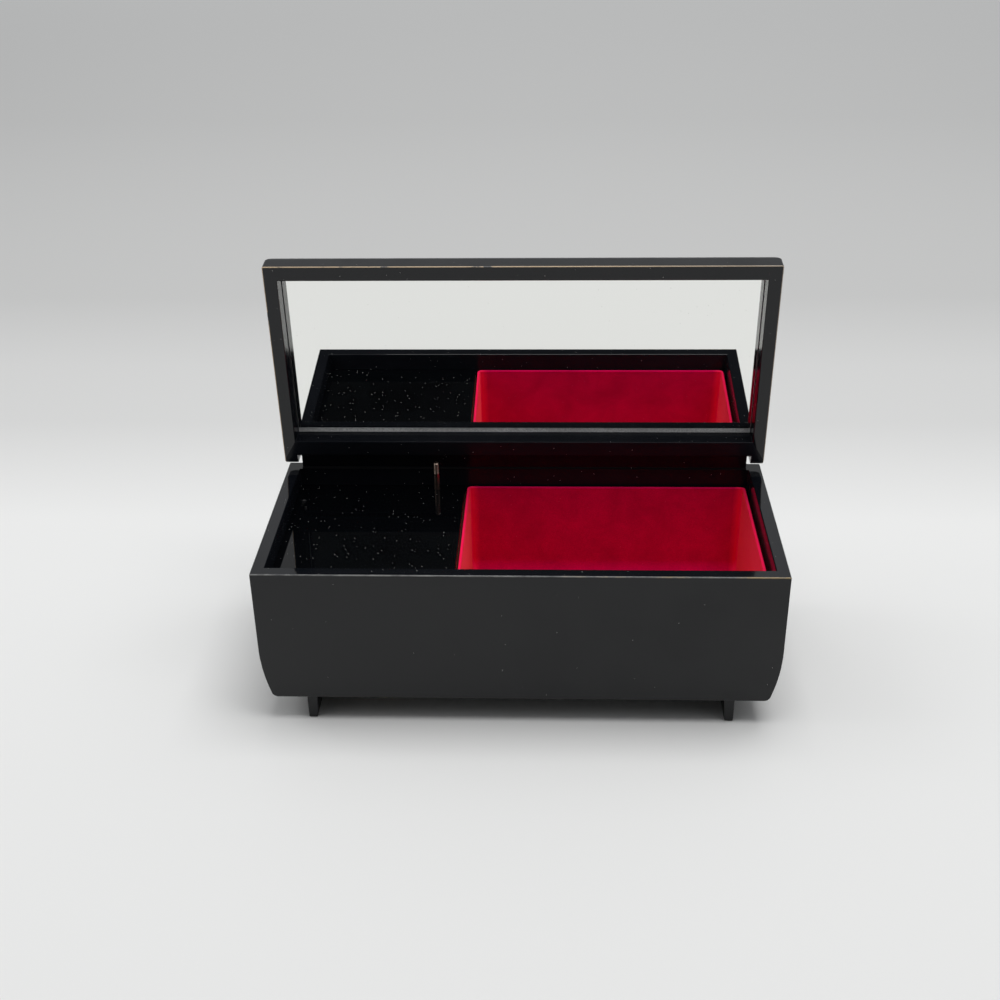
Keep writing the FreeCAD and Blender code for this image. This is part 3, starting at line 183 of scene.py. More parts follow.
body = drawn("lacquered_body", across(flank(HALF_WIDTH, BEND, UNDER_Z, RIM_Z, TOE), FRONT_Y),
             (0, BACK_Y - FRONT_Y, 0))
hollow = drawn("body_hollow",
               across(flank(HALF_WIDTH - BOARD, BEND - BOARD, UNDER_Z - MM, RIM_Z + MM), FRONT_Y + BOARD),
               (0, BACK_Y - BACK_BOARD - FRONT_Y - BOARD, 0))
carved(body, hollow)
nose = [(HINGE_Y - RAIL_NOSE * math.sin(a), HINGE_Z + RAIL_NOSE * math.cos(a))
        for a in [math.pi / 2 + (LEAN - math.pi / 2) * n / NOSE_STEPS for n in range(NOSE_STEPS + 1)]]
seat_top = nose[-1][1] + (BACK_Y - nose[-1][0]) * math.tan(LEAN)
rail_side = ([(HINGE_Y - RAIL_NOSE, RIM_Z - RAIL_SUNK)] + nose
             + [(BACK_Y, seat_top), (BACK_Y, RIM_Z - RAIL_SUNK)])
rail = drawn("hinge_rail", [(-RAIL_HALF, y, z) for y, z in rail_side], (2 * RAIL_HALF, 0, 0))
carved(body, rail, "UNION")
eased(body, ARRIS, slot=WORN_AND_HIGHLIT)
for side in (-1, 1):
    relief_x = sorted((side * RAIL_HALF, side * PAST_SIDE))
    relief = block("rear_relief", (relief_x[0], BACK_Y - RELIEF_LENGTH, RIM_Z - RELIEF_DEPTH),
                   (relief_x[1], BACK_Y + MM, RIM_Z + 5 * MM))
    carved(body, relief)
    bore_middle = (side * (RAIL_HALF - MM), HINGE_Y, HINGE_Z)
    carved(body, dowel("rail_bore", bore_middle, RAIL_BORE_R, RAIL_BORE_LENGTH, "x"))


def node(tree, kind, **settings):
    """Adds a shader node. A capitalised word names a socket and any other word a setting."""
    made = tree.nodes.new("ShaderNode" + kind)
    for word, value in settings.items():
        if word[0].isupper():
            made.inputs[word.replace("_", " ")].default_value = value
        else:
            setattr(made, word, value)
    return made


def wire(tree, giver, out, taker, into):
    """Joins one node's output to another's input."""
    tree.links.new(giver.outputs[out], taker.inputs[into])


def finish(name, colour, **sockets):
    """A new finish with its constants set on the shader."""
    made = bpy.data.materials.new(name)
    made.use_nodes = True
    tree = made.node_tree
    shader = tree.nodes["Principled BSDF"]
    shader.inputs["Base Color"].default_value = (*colour, 1)
    for word, value in sockets.items():
        shader.inputs[word.replace("_", " ")].default_value = value
    place = node(tree, "TexCoord")
    return made, tree, shader, place


def spread(tree, giver, out, low, high, from_low=0.0, from_high=1.0):
    """Maps a pattern's values to a working range."""
    made = node(tree, "MapRange", From_Min=from_low, From_Max=from_high, To_Min=low, To_Max=high)
    wire(tree, giver, out, made, "Value")
    return made


def both(tree, first, first_out, second, second_out, way="MULTIPLY"):
    """Two patterns worked into one."""
    made = node(tree, "Math", operation=way)
    wire(tree, first, first_out, made, 0)
    wire(tree, second, second_out, made, 1)
    return made


def blended(tree, mask, out, under, over):
    """Two colours, or patterns of colour, one over the other through a mask."""
    made = node(tree, "Mix", data_type="RGBA")
    wire(tree, mask, out, made, 0)
    for number, shade in ((6, under), (7, over)):
        if isinstance(shade, tuple):
            made.inputs[number].default_value = (*shade, 1)
        else:
            wire(tree, shade, 2 if shade.bl_idname == "ShaderNodeMix" else "Color", made, number)
    return made


def specks(tree, place, spacing, radius, share):
    """Grains of dust: a few small dots, each in its own cell."""
    cells = node(tree, "TexVoronoi", Scale=1 / spacing)
    wire(tree, place, "Object", cells, "Vector")
    dot = node(tree, "Math", operation="LESS_THAN")
    dot.inputs[1].default_value = radius / spacing
    wire(tree, cells, "Distance", dot, 0)
    parts = node(tree, "SeparateColor")
    wire(tree, cells, "Color", parts, "Color")
    few = node(tree, "Math", operation="LESS_THAN")
    few.inputs[1].default_value = share
    wire(tree, parts, "Red", few, 0)
    return both(tree, dot, 0, few, 0)


def lacquer(name, low_rough, high_rough, dust, ior, peel=0.02, depth=1.0):
    """Black lacquer over wood: faint orange peel, wiping marks and settled dust."""
    made, tree, shader, place = finish(name, (0.0032, 0.0034, 0.0040), IOR=ior)
    marks = node(tree, "TexNoise", Scale=55, Detail=5, Roughness=0.65)
    wire(tree, place, "Object", marks, "Vector")
    wide = node(tree, "TexNoise", Scale=11, Detail=2)
    wire(tree, place, "Object", wide, "Vector")
    wiped = both(tree, marks, "Fac", wide, "Fac")
    grains = specks(tree, place, 1.3 * MM, 0.11 * MM, dust)
    rough = spread(tree, wiped, 0, low_rough, high_rough, 0.12, 0.38)
    dull = both(tree, rough, 0, grains, 0, "MAXIMUM")
    wire(tree, dull, 0, shader, "Roughness")
    tone = spread(tree, wiped, 0, 0.0, 1.0, 0.1, 0.4)
    base = blended(tree, tone, 0, (0.0024 * depth, 0.0029 * depth, 0.0042 * depth),
                   (0.0042 * depth, 0.0047 * depth, 0.0062 * depth))
    base = blended(tree, grains, 0, base, (0.62, 0.61, 0.59))
    wire(tree, base, 2, shader, "Base Color")
    skin = node(tree, "TexNoise", Scale=650, Detail=2)
    wire(tree, place, "Object", skin, "Vector")
    bump = node(tree, "Bump", Strength=peel, Distance=0.2 * MM)
    wire(tree, skin, "Fac", bump, "Height")
    wire(tree, bump, "Normal", shader, "Normal")
    return made


def rubbed_and_highlit(name, bare_from, bare_share, tan):
    """The eased corner of a lacquered board: worn grey lacquer, partly a painted highlight, and bare wood
    where it is handled most.
    """
    made, tree, shader, place = finish(name, (0.01, 0.01, 0.01), Roughness=0.28, IOR=1.46)
    marks = node(tree, "TexNoise", Scale=140, Detail=6, Roughness=0.7)
    wire(tree, place, "Object", marks, "Vector")
    wide = node(tree, "TexNoise", Scale=16, Detail=1)
    wire(tree, place, "Object", wide, "Vector")
    # Painted highlight: this grey is lighter than worn lacquer alone, so the eased corner shows as a pale
    # line.
    grey = spread(tree, marks, "Fac", 0.0, 1.0, 0.35, 0.7)
    base = blended(tree, grey, 0, (0.075, 0.076, 0.078), (0.27, 0.27, 0.26))
    worn = both(tree, marks, "Fac", wide, "Fac", "ADD")
    bare = spread(tree, worn, 0, 0.0, 1.0, bare_share, bare_share + 0.08)
    along = node(tree, "SeparateXYZ")
    wire(tree, place, "Object", along, "Vector")
    where = spread(tree, along, "X", 0.0, 1.0, bare_from[0], bare_from[1])
    mask = both(tree, bare, 0, where, 0)
    base = blended(tree, mask, 0, base, tan)
    wire(tree, base, 2, shader, "Base Color")
    return made


GLOSS = lacquer("polished_black_lacquer", 0.03, 0.11, 0.10, 1.42, depth=1.5)
INNER = lacquer("soft_inner_lacquer", 0.12, 0.26, 0.10, 1.22, peel=0.03, depth=2.6)
SATIN = lacquer("satin_black_lacquer", 0.30, 0.46, 0.03, 1.43, peel=0.05)
# Eased corners: the grey is partly a painted highlight, the tan is bare wood where the lacquer is worn
# through.
BODY_CORNER = rubbed_and_highlit("highlit_worn_body_corner", (0.0, 0.08), 0.94, (0.30, 0.22, 0.11))


def coated(piece, *finishes):
    """Gives a piece its finishes, one for each slot in turn."""
    slots = piece.data.materials
    while len(slots) < len(finishes):
        slots.append(None)
    while len(slots) > len(finishes):
        slots.pop()
    for number, made in enumerate(finishes):
        slots[number] = made


def faced(piece, slot, wanted):
    """Gives a slot to the faces whose middle and normal pass a test, save those of the eased corners."""
    for face in piece.data.polygons:
        if face.material_index != WORN_AND_HIGHLIT and wanted(face.center, face.normal):
            face.material_index = slot


def on_body_outside(spot):
    """True at the front, the back and the flanks."""
    return (spot.y < FRONT_Y + MM or spot.y > BACK_Y - MM or abs(spot.x) > HALF_WIDTH - MM
            or spot.z < BEND_TOP_Z and abs(spot.x) > LOW_FLANK_X)


def looks_outwards(spot, normal):
    """True for the outer faces of the front, the back and the flanks, and for the boards' undersides."""
    front = normal.y < -0.9 and spot.y < FRONT_Y + MM
    back = normal.y > 0.9 and spot.y > BACK_Y - MM
    side = normal.x * spot.x > 0 and abs(normal.x) > 0.3 and abs(spot.x) > FLANK_X
    below = normal.z < -0.9 and spot.z < UNDER_Z + MM
    return front or back or side or below


coated(body, GLOSS, SATIN, BODY_CORNER, INNER)
for face in body.data.polygons:
    handled = face.center.y < FRONT_Y + MM and face.center.z > RIM_Z - MM
    if face.material_index == WORN_AND_HIGHLIT and not handled:
        face.material_index = OUTSIDE if on_body_outside(face.center) else POLISHED
faced(body, OUTSIDE, looks_outwards)
for face in body.data.polygons:
    if face.material_index == POLISHED and abs(face.normal.z) < 0.5:
        face.material_index = INSIDE
smoothed(body)
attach(body, "case")
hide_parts("front_board", "left_end_board", "right_end_board", "back_board")

# The feet: two runners from front to back, glued under the bottom and lacquered with the body.
# Their inner faces slope, and their lower corners are rounded so that they slide without catching.

FOOT_TAPER = 0.8 * MM
FOOT_ROUND = 0.6 * MM
FOOT_ARRIS = 0.25 * MM


def rounded_edges(piece, radius, steps, wanted):
    """Rounds the edges whose two ends both pass a test."""
    chosen(piece)
    bpy.ops.object.mode_set(mode="EDIT")
    bpy.ops.mesh.select_mode(type="EDGE")
    bpy.ops.mesh.select_all(action="DESELECT")
    bpy.ops.object.mode_set(mode="OBJECT")
    points = piece.data.vertices
    for edge in piece.data.edges:
        edge.select = all(wanted(points[v].co) for v in edge.vertices)
    bpy.ops.object.mode_set(mode="EDIT")
    bpy.ops.mesh.bevel(offset=radius, segments=steps, affect="EDGES")
    bpy.ops.object.mode_set(mode="OBJECT")


for side, name in ((-1, "left"), (1, "right")):
    low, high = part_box(name + "_foot_runner")
    foot = block(name + "_runner", low, high)
    inner_x = min(abs(low.x), abs(high.x))
    for point in foot.data.vertices:
        if point.co.z < low.z + MM and abs(point.co.x) < inner_x + MM:
            point.co.x += side * FOOT_TAPER
    rounded_edges(foot, FOOT_ROUND, 4, lambda p: p.z < low.z + 0.1 * MM)
    eased(foot, FOOT_ARRIS)
    coated(foot, SATIN)
    smoothed(foot)
    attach(foot, "case")
    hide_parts(name + "_foot_runner")

# The bottom board, stained dull black. Above it, the partition, the two ledge strips and the block that
# guides the stop pin are plain sawn softwood, glued in.

GRAIN_SCALE = 260
PORE_SCALE = 1560
ALONG_GRAIN = 0.06


def timber(name, light, dark, run, rough=0.62):
    """Sawn wood with its grain along one axis: bands, pores and a little fuzz."""
    made, tree, shader, place = finish(name, light, Roughness=rough, IOR=1.45)
    stretch = [ALONG_GRAIN if axis == run else 1.0 for axis in "xyz"]
    turned = node(tree, "Mapping")
    turned.inputs["Scale"].default_value = stretch
    wire(tree, place, "Object", turned, "Vector")
    bands = node(tree, "TexNoise", Scale=GRAIN_SCALE, Detail=7, Roughness=0.62, Distortion=0.8)
    wire(tree, turned, "Vector", bands, "Vector")
    pores = node(tree, "TexNoise", Scale=PORE_SCALE, Detail=2)
    wire(tree, turned, "Vector", pores, "Vector")
    grain = spread(tree, bands, "Fac", 0.0, 1.0, 0.35, 0.68)
    base = blended(tree, grain, 0, light, dark)
    pits = spread(tree, pores, "Fac", 0.0, 0.55, 0.56, 0.72)
    base = blended(tree, pits, 0, base, tuple(c * 0.5 for c in dark))
    wire(tree, base, 2, shader, "Base Color")
    bump = node(tree, "Bump", Strength=0.35, Distance=0.15 * MM)
    wire(tree, bands, "Fac", bump, "Height")
    wire(tree, bump, "Normal", shader, "Normal")
    return made


STAINED = timber("black_stained_board", (0.022, 0.021, 0.020), (0.009, 0.009, 0.009), "x", 0.55)
PINE_X = timber("sawn_softwood", (0.52, 0.36, 0.20), (0.38, 0.23, 0.11), "x")
PINE_Y = timber("sawn_softwood_lengthways", (0.50, 0.34, 0.19), (0.36, 0.22, 0.11), "y")
PINE_Z = timber("sawn_softwood_upright", (0.53, 0.37, 0.21), (0.39, 0.24, 0.12), "z")
for name, made in (("bottom_board", STAINED), ("partition_board", PINE_Y), ("front_ledge_strip", PINE_X),
                   ("rear_ledge_strip", PINE_X), ("pin_guide_block", PINE_Z)):
    coated(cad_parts[name], made)

# The cover over the movement: a thin board with a polished black face that catches dust.
# It drops onto the ledge strips, and the stop pin comes up through a drilled hole.

PIN_X = (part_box("stop_pin")[0].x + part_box("stop_pin")[1].x) / 2
PIN_Y = (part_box("stop_pin")[0].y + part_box("stop_pin")[1].y) / 2
HOLE_R = 1.25 * MM
HOLE_LENGTH = 20 * MM
PANEL_ARRIS = 0.18 * MM
low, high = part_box("music_cover_panel")
panel = block("polished_cover_panel", low, high)
carved(panel, dowel("panel_hole", (PIN_X, PIN_Y, high.z), HOLE_R, HOLE_LENGTH, "z"))
eased(panel, PANEL_ARRIS, steps=2)
PANEL_FACE = lacquer("polished_dusty_panel", 0.015, 0.05, 0.34, 1.36, peel=0.006, depth=0.5)
coated(panel, PANEL_FACE)
smoothed(panel)
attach(panel, "case")
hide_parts("music_cover_panel")

# The well: one formed shell, rounded along its bottom, with short crimson flock shot onto it.
# The flock stands square to the shell, so it is dark seen straight on and bright at a slant;
# the side walls' extra brightness is a painted sheen in their base colour.

FLOCK_ROUND = 0.45 * MM
WALL_STARTS = 5.0 * MM
WALL_ENDS = 2.5 * MM


def flock(name, low, high, painted_sheen_low, painted_sheen_high, middle_x, half):
    """Short dense fibres; the side walls' paler base colour is a painted sheen."""
    made, tree, shader, place = finish(name, low, Roughness=0.95, IOR=1.35, Specular_IOR_Level=0.06,
                                       Sheen_Weight=1.0, Sheen_Roughness=0.34,
                                       Sheen_Tint=(1.0, 0.08, 0.085, 1.0))
    fibres = node(tree, "TexNoise", Scale=2600, Detail=3, Roughness=0.7)
    wire(tree, place, "Object", fibres, "Vector")
    nap = node(tree, "TexNoise", Scale=75, Detail=5, Roughness=0.6, Distortion=0.6)
    wire(tree, place, "Object", nap, "Vector")
    tone = both(tree, fibres, "Fac", nap, "Fac")
    shade = spread(tree, tone, 0, 0.0, 1.0, 0.14, 0.38)
    parts = node(tree, "SeparateXYZ")
    wire(tree, place, "Object", parts, "Vector")
    off = node(tree, "Math", operation="SUBTRACT")
    off.inputs[1].default_value = middle_x
    wire(tree, parts, "X", off, 0)
    away = node(tree, "Math", operation="ABSOLUTE")
    wire(tree, off, 0, away, 0)
    # Painted sheen: near the side walls the base colour turns paler, standing in for fibres seen at a
    # slant.
    painted_sheen_mask = spread(tree, away, 0, 0.0, 1.0, half - WALL_STARTS, half - WALL_ENDS)
    bed = blended(tree, shade, 0, low, high)
    flanks = blended(tree, shade, 0, painted_sheen_low, painted_sheen_high)
    base = blended(tree, painted_sheen_mask, 0, bed, flanks)
    lint = specks(tree, place, 3.0 * MM, 0.12 * MM, 0.30)
    base = blended(tree, lint, 0, base, (0.80, 0.20, 0.24))
    wire(tree, base, 2, shader, "Base Color")
    bump = node(tree, "Bump", Strength=0.55, Distance=0.25 * MM)
    wire(tree, fibres, "Fac", bump, "Height")
    soft = node(tree, "Bump", Strength=0.25, Distance=0.5 * MM)
    wire(tree, nap, "Fac", soft, "Height")
    wire(tree, bump, "Normal", soft, "Normal")
    wire(tree, soft, "Normal", shader, "Normal")
    return made


def copied(name, source):
    """A copy of a CAD node with its loose triangles joined up."""
    bpy.ops.object.select_all(action="DESELECT")
    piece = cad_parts[source].copy()
    piece.data = piece.data.copy()
    for word in list(piece.keys()):
        del piece[word]
    piece.name = name
    piece.parent = None
    bpy.context.scene.collection.objects.link(piece)
    chosen(piece)
    bpy.ops.object.mode_set(mode="EDIT")
    bpy.ops.mesh.select_all(action="SELECT")
    bpy.ops.mesh.remove_doubles(threshold=0.002 * MM)
    bpy.ops.mesh.dissolve_limited(angle_limit=math.radians(0.5))
    bpy.ops.object.mode_set(mode="OBJECT")
    return piece


tray = copied("flocked_well", "jewellery_tray")
worked(tray, "BEVEL", width=FLOCK_ROUND, segments=3, limit_method="ANGLE", angle_limit=math.radians(50))
low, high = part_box("jewellery_tray")
coated(tray, flock("crimson_flock", (0.56, 0.0004, 0.066), (0.76, 0.0012, 0.088),
                   (0.98, 0.008, 0.078), (1.0, 0.014, 0.105), (low.x + high.x) / 2, (high.x - low.x) / 2))
smoothed(tray)
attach(tray, "case")
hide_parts("jewellery_tray")

# The lid: a hollow frame of rails and stiles under a top board, lacquered as one.
# It is drawn shut, with the hinge line at the origin, and then stood open.

LID_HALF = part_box("lid_right_stile")[1].x
IN_HALF = 95.0 * MM
LID_FRONT = -87.6 * MM
LID_BACK = 2.4 * MM
LID_LOW = -5.4 * MM
LID_TOP = 7.6 * MM
WEB = 5.0 * MM
RECESS_FRONT = -81.6 * MM
RECESS_BACK = -9.0 * MM
RAIL_BACK = -2.4 * MM


def rim(half, front, back, radius, z):
    """Plan outline of the lid at one height: a rectangle with four round corners."""
    points = []
    for side_x, side_y, first in ((1, 1, 0), (-1, 1, 1), (-1, -1, 2), (1, -1, 3)):
        middle = (side_x * (half - radius), (back - radius) if side_y > 0 else (front + radius))
        for n in range(ARC_STEPS + 1):
            a = (first + n / ARC_STEPS) * math.pi / 2
            points.append((middle[0] + radius * math.cos(a), middle[1] + radius * math.sin(a), z))
    return points


def stood_open(piece):
    """Swings a piece that was made shut up to the open lid's angle, about the hinge line."""
    chosen(piece)
    piece.rotation_euler = (-OPEN, 0, 0)
    piece.location = (0, HINGE_Y, HINGE_Z)
    bpy.ops.object.transform_apply(location=True, rotation=True, scale=True)


def raised(piece, height, rows):
    """Draws the top face of a piece upwards in even rows."""
    chosen(piece)
    bpy.ops.object.mode_set(mode="EDIT")
    bpy.ops.mesh.select_mode(type="FACE")
    bpy.ops.mesh.select_all(action="DESELECT")
    bpy.ops.object.mode_set(mode="OBJECT")
    for face in piece.data.polygons:
        face.select = face.normal.z > 0.9
    bpy.ops.object.mode_set(mode="EDIT")
    for row in range(rows):
        bpy.ops.mesh.extrude_region_move(TRANSFORM_OT_translate={"value": (0, 0, height / rows)})
    bpy.ops.object.mode_set(mode="OBJECT")


LOW_CORNER = 0.7 * MM
CORNER_GAIN = 4.0 * MM
TOP_ROUND = 6.0 * MM
ROUND_ROWS = 12
HEEL = 3.0 * MM
LID_ARRIS = 0.35 * MM
STILE_BORE_R = 0.95 * MM
STILE_BORE_LENGTH = 3.5 * MM
shoulder = LID_TOP - TOP_ROUND
foot_ring = rim(LID_HALF, LID_FRONT, LID_BACK, LOW_CORNER, LID_LOW)
lid = drawn("lacquered_lid", foot_ring, (0, 0, shoulder - LID_LOW))
raised(lid, TOP_ROUND, ROUND_ROWS)
crisp = [Vector(p[:2]) for p in foot_ring]
for point in lid.data.vertices:
    row = round((point.co.z - shoulder) / TOP_ROUND * ROUND_ROWS)
    if row > 0:
        turn = row / ROUND_ROWS * math.pi / 2
        inset = TOP_ROUND * (1 - math.cos(turn))
        outline = rim(LID_HALF - inset, LID_FRONT + inset, LID_BACK - inset,
                      LOW_CORNER + CORNER_GAIN * math.sin(turn), shoulder + TOP_ROUND * math.sin(turn))
        gaps = [(point.co.xy - spot).length for spot in crisp]
        point.co = outline[gaps.index(min(gaps))]
carved(lid, block("recess", (-IN_HALF, RECESS_FRONT, LID_LOW - MM), (IN_HALF, RECESS_BACK, WEB)))
carved(lid, block("hinge_room", (-IN_HALF, RAIL_BACK, LID_LOW - MM), (IN_HALF, LID_BACK + MM, WEB)))
heel = ([(LID_BACK + MM, LID_LOW - MM), (LID_BACK + MM, LID_LOW + HEEL)]
        + bent(LID_BACK - HEEL, LID_LOW + HEEL, HEEL, 0, math.pi / 2, ARC_STEPS)
        + [(LID_BACK - HEEL, LID_LOW - MM)])
waste = drawn("heel_waste", [(-LID_HALF - MM, y, z) for y, z in heel], (2 * (LID_HALF + MM), 0, 0))
carved(lid, waste)
for side in (-1, 1):
    bore_middle = (side * (IN_HALF + 0.8 * MM), 0, 0)
    carved(lid, dowel("stile_bore", bore_middle, STILE_BORE_R, STILE_BORE_LENGTH, "x"))
worked(lid, "TRIANGULATE", min_vertices=5)
eased(lid, LID_ARRIS, slot=WORN_AND_HIGHLIT)
# The lid's eased front and side corners: bare wood wear, with a painted highlight in their grey.
LID_CORNER = rubbed_and_highlit("highlit_worn_lid_corner", (0.16, 0.03), 0.78, (0.54, 0.41, 0.27))
LID_SATIN = lacquer("satin_lid_lacquer", 0.28, 0.42, 0.05, 1.36, peel=0.05)


def at_front_or_side(spot):
    """True along the lid's front and its two sides."""
    return spot.y < LID_FRONT + MM or abs(spot.x) > LID_HALF - MM


coated(lid, GLOSS, LID_SATIN, LID_CORNER, INNER)
for face in lid.data.polygons:
    handled = at_front_or_side(face.center) and face.center.z < LID_LOW + MM
    if face.material_index == WORN_AND_HIGHLIT and not handled:
        face.material_index = POLISHED
    if face.material_index == POLISHED and (abs(face.normal.z) < 0.5 or face.center.y > RECESS_BACK):
        face.material_index = INSIDE
faced(lid, OUTSIDE, lambda spot, normal: spot.z > WEB + MM
      or abs(normal.z) < 0.2 and at_front_or_side(spot))
stood_open(lid)
smoothed(lid)
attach(lid, "lid")
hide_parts("lid_left_stile", "lid_right_stile", "lid_front_rail", "lid_rear_rail", "lid_top_panel")

# The mirror: silvered glass let into the lid's hollow. A dull slanted strip is ground along its foot,
# and shows as a pale line under the reflection.

GLASS = WEB - 2.0 * MM
GLASS_GAP = 0.1 * MM
GLASS_ARRIS = 0.15 * MM
GROUND = 1.8 * MM
SLANT = 0.5 * MM
DULLED = 1
SILVER = (0.925, 0.93, 0.905)
glass_half = IN_HALF - GLASS_GAP
low_y, high_y = RECESS_FRONT + GLASS_GAP, RECESS_BACK - GLASS_GAP
glass = block("silvered_mirror", (-glass_half, low_y, GLASS), (glass_half, high_y, WEB))
bpy.ops.object.mode_set(mode="EDIT")
bpy.ops.mesh.select_all(action="SELECT")
bpy.ops.mesh.bisect(plane_co=(0, high_y - GROUND, 0), plane_no=(0, 1, 0))
bpy.ops.object.mode_set(mode="OBJECT")
for point in glass.data.vertices:
    if point.co.y > high_y - 0.01 * MM and point.co.z < GLASS + 0.01 * MM:
        point.co.z -= SLANT
eased(glass, GLASS_ARRIS, steps=2, slot=DULLED)


def silvering():
    """The face of the mirror: clear silver with a veil of wiping marks and a little dust."""
    made, tree, shader, place = finish("silvered_glass", SILVER, Metallic=1.0)
    veil = node(tree, "TexNoise", Scale=26, Detail=6, Roughness=0.7, Distortion=1.5)
    wire(tree, place, "Object", veil, "Vector")
    grains = specks(tree, place, 1.5 * MM, 0.09 * MM, 0.22)
    rough = spread(tree, veil, "Fac", 0.004, 0.022, 0.45, 0.75)
    dull = both(tree, rough, 0, grains, 0, "MAXIMUM")
    wire(tree, dull, 0, shader, "Roughness")
    base = blended(tree, grains, 0, SILVER, (0.5, 0.5, 0.49))
    wire(tree, base, 2, shader, "Base Color")
    return made


def ground_glass():
    """The slanted strip at the mirror's foot and the edges of the glass: dull, with a fine grain."""
    made, tree, shader, place = finish("ground_glass_edge", (0.6, 0.6, 0.6), Metallic=0.25, Roughness=0.6)
    grain = node(tree, "TexNoise", Scale=1500, Detail=2)
    wire(tree, place, "Object", grain, "Vector")
    wide = node(tree, "TexNoise", Scale=40, Detail=2)
    wire(tree, place, "Object", wide, "Vector")
    tone = both(tree, grain, "Fac", wide, "Fac")
    shade = spread(tree, tone, 0, 0.0, 1.0, 0.15, 0.38)
    base = blended(tree, shade, 0, (0.62, 0.62, 0.62), (0.92, 0.92, 0.92))
    wire(tree, base, 2, shader, "Base Color")
    return made


coated(glass, silvering(), ground_glass())
faced(glass, DULLED, lambda spot, normal: abs(normal.z) < 0.5 or spot.y > high_y - GROUND)
stood_open(glass)
smoothed(glass)
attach(glass, "lid")
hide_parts("lid_mirror_plate")

# The hinge: two bright steel pins cut from drawn wire and driven into the ends of the raised rail.
# The lid's stiles are bored to turn on them.


def metal(name, light, dark, rough, grain=(1, 1, 1), scale=700, bump_by=0.06):
    """Worked metal: fine tool marks in one direction, patches of tarnish, and small pits."""
    made, tree, shader, place = finish(name, light, Metallic=1.0)
    turned = node(tree, "Mapping")
    turned.inputs["Scale"].default_value = grain
    wire(tree, place, "Object", turned, "Vector")
    marks = node(tree, "TexNoise", Scale=scale, Detail=5, Roughness=0.6)
    wire(tree, turned, "Vector", marks, "Vector")
    stain = node(tree, "TexNoise", Scale=120, Detail=5, Roughness=0.65)
    wire(tree, place, "Object", stain, "Vector")
    dim = spread(tree, stain, "Fac", 0.0, 1.0, 0.42, 0.72)
    base = blended(tree, dim, 0, light, dark)
    wire(tree, base, 2, shader, "Base Color")
    worn = both(tree, marks, "Fac", stain, "Fac")
    rough_out = spread(tree, worn, 0, rough * 0.7, rough * 1.5, 0.12, 0.4)
    wire(tree, rough_out, 0, shader, "Roughness")
    bump = node(tree, "Bump", Strength=bump_by, Distance=0.1 * MM)
    wire(tree, marks, "Fac", bump, "Height")
    wire(tree, bump, "Normal", shader, "Normal")
    return made


DRAWN_WIRE = metal("drawn_steel_wire", (0.62, 0.62, 0.61), (0.40, 0.38, 0.35), 0.24, (0.05, 1, 1), 900)
coated(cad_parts["hinge_pins"], DRAWN_WIRE)

# The stop pin: drawn steel wire with a rolled thread at its top. The closing lid presses it,
# and its arm then holds the governor still. The arm and its lock nut are brass, the coil is steel.

PIN_LOW, PIN_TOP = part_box("stop_pin")[0].z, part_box("stop_pin")[1].z
PIN_R = 1.2 * MM
THREAD_LENGTH = 5.0 * MM
THREAD_FOOT = PIN_TOP - THREAD_LENGTH
THREAD_ROWS = 60
THREAD_DEPTH = 0.17 * MM
PITCH = 0.5 * MM
TIP_FROM = 4.6 * MM
TIP_LENGTH = 0.4 * MM
TIP_DEPTH = 0.25 * MM
shank_middle = (PIN_X, PIN_Y, (PIN_LOW + THREAD_FOOT) / 2)
pin = dowel("threaded_stop_pin", shank_middle, PIN_R, THREAD_FOOT - PIN_LOW, "z")
raised(pin, THREAD_LENGTH, THREAD_ROWS)
for point in pin.data.vertices:
    rise = point.co.z - THREAD_FOOT
    if rise > 0.1 * MM:
        around = math.atan2(point.co.y - PIN_Y, point.co.x - PIN_X) / (2 * math.pi)
        phase = (rise / PITCH - around) % 1.0
        tip = max(0.0, (rise - TIP_FROM) / TIP_LENGTH)
        depth = THREAD_DEPTH * abs(2 * phase - 1) + TIP_DEPTH * tip ** 2
        share = 1 - depth / PIN_R
        point.co.x = PIN_X + (point.co.x - PIN_X) * share
        point.co.y = PIN_Y + (point.co.y - PIN_Y) * share
PIN_STEEL = metal("pin_steel", (0.44, 0.34, 0.28), (0.16, 0.10, 0.08), 0.3, (1, 1, 0.1), 900)
coated(pin, PIN_STEEL)
chosen(pin)
bpy.ops.object.shade_smooth_by_angle(angle=math.radians(50))
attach(pin, "stop_plunger")
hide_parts("stop_pin")

BRASS = metal("rolled_brass", (0.74, 0.53, 0.25), (0.46, 0.29, 0.12), 0.26, (0.08, 1, 1), 800)
TURNED_BRASS = metal("turned_brass", (0.80, 0.59, 0.29), (0.55, 0.36, 0.16), 0.2, (1, 0.08, 1), 900)
STEEL = metal("ground_steel", (0.60, 0.60, 0.60), (0.36, 0.35, 0.33), 0.25, (0.08, 1, 1), 900)
BLUED = metal("blued_spring_steel", (0.19, 0.22, 0.30), (0.10, 0.10, 0.13), 0.22, (1, 1, 0.08), 700)
for name in ("stop_arm", "stop_pin_nut"):
    coated(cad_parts[name], BRASS)
coated(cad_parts["stop_pin_spring"], STEEL)

# The movement on its cast and plated bedplate, under the cover panel: posts and comb block are part of
# the casting. Bridge, train plate and bracket are brass, and pan-head screws hold them.

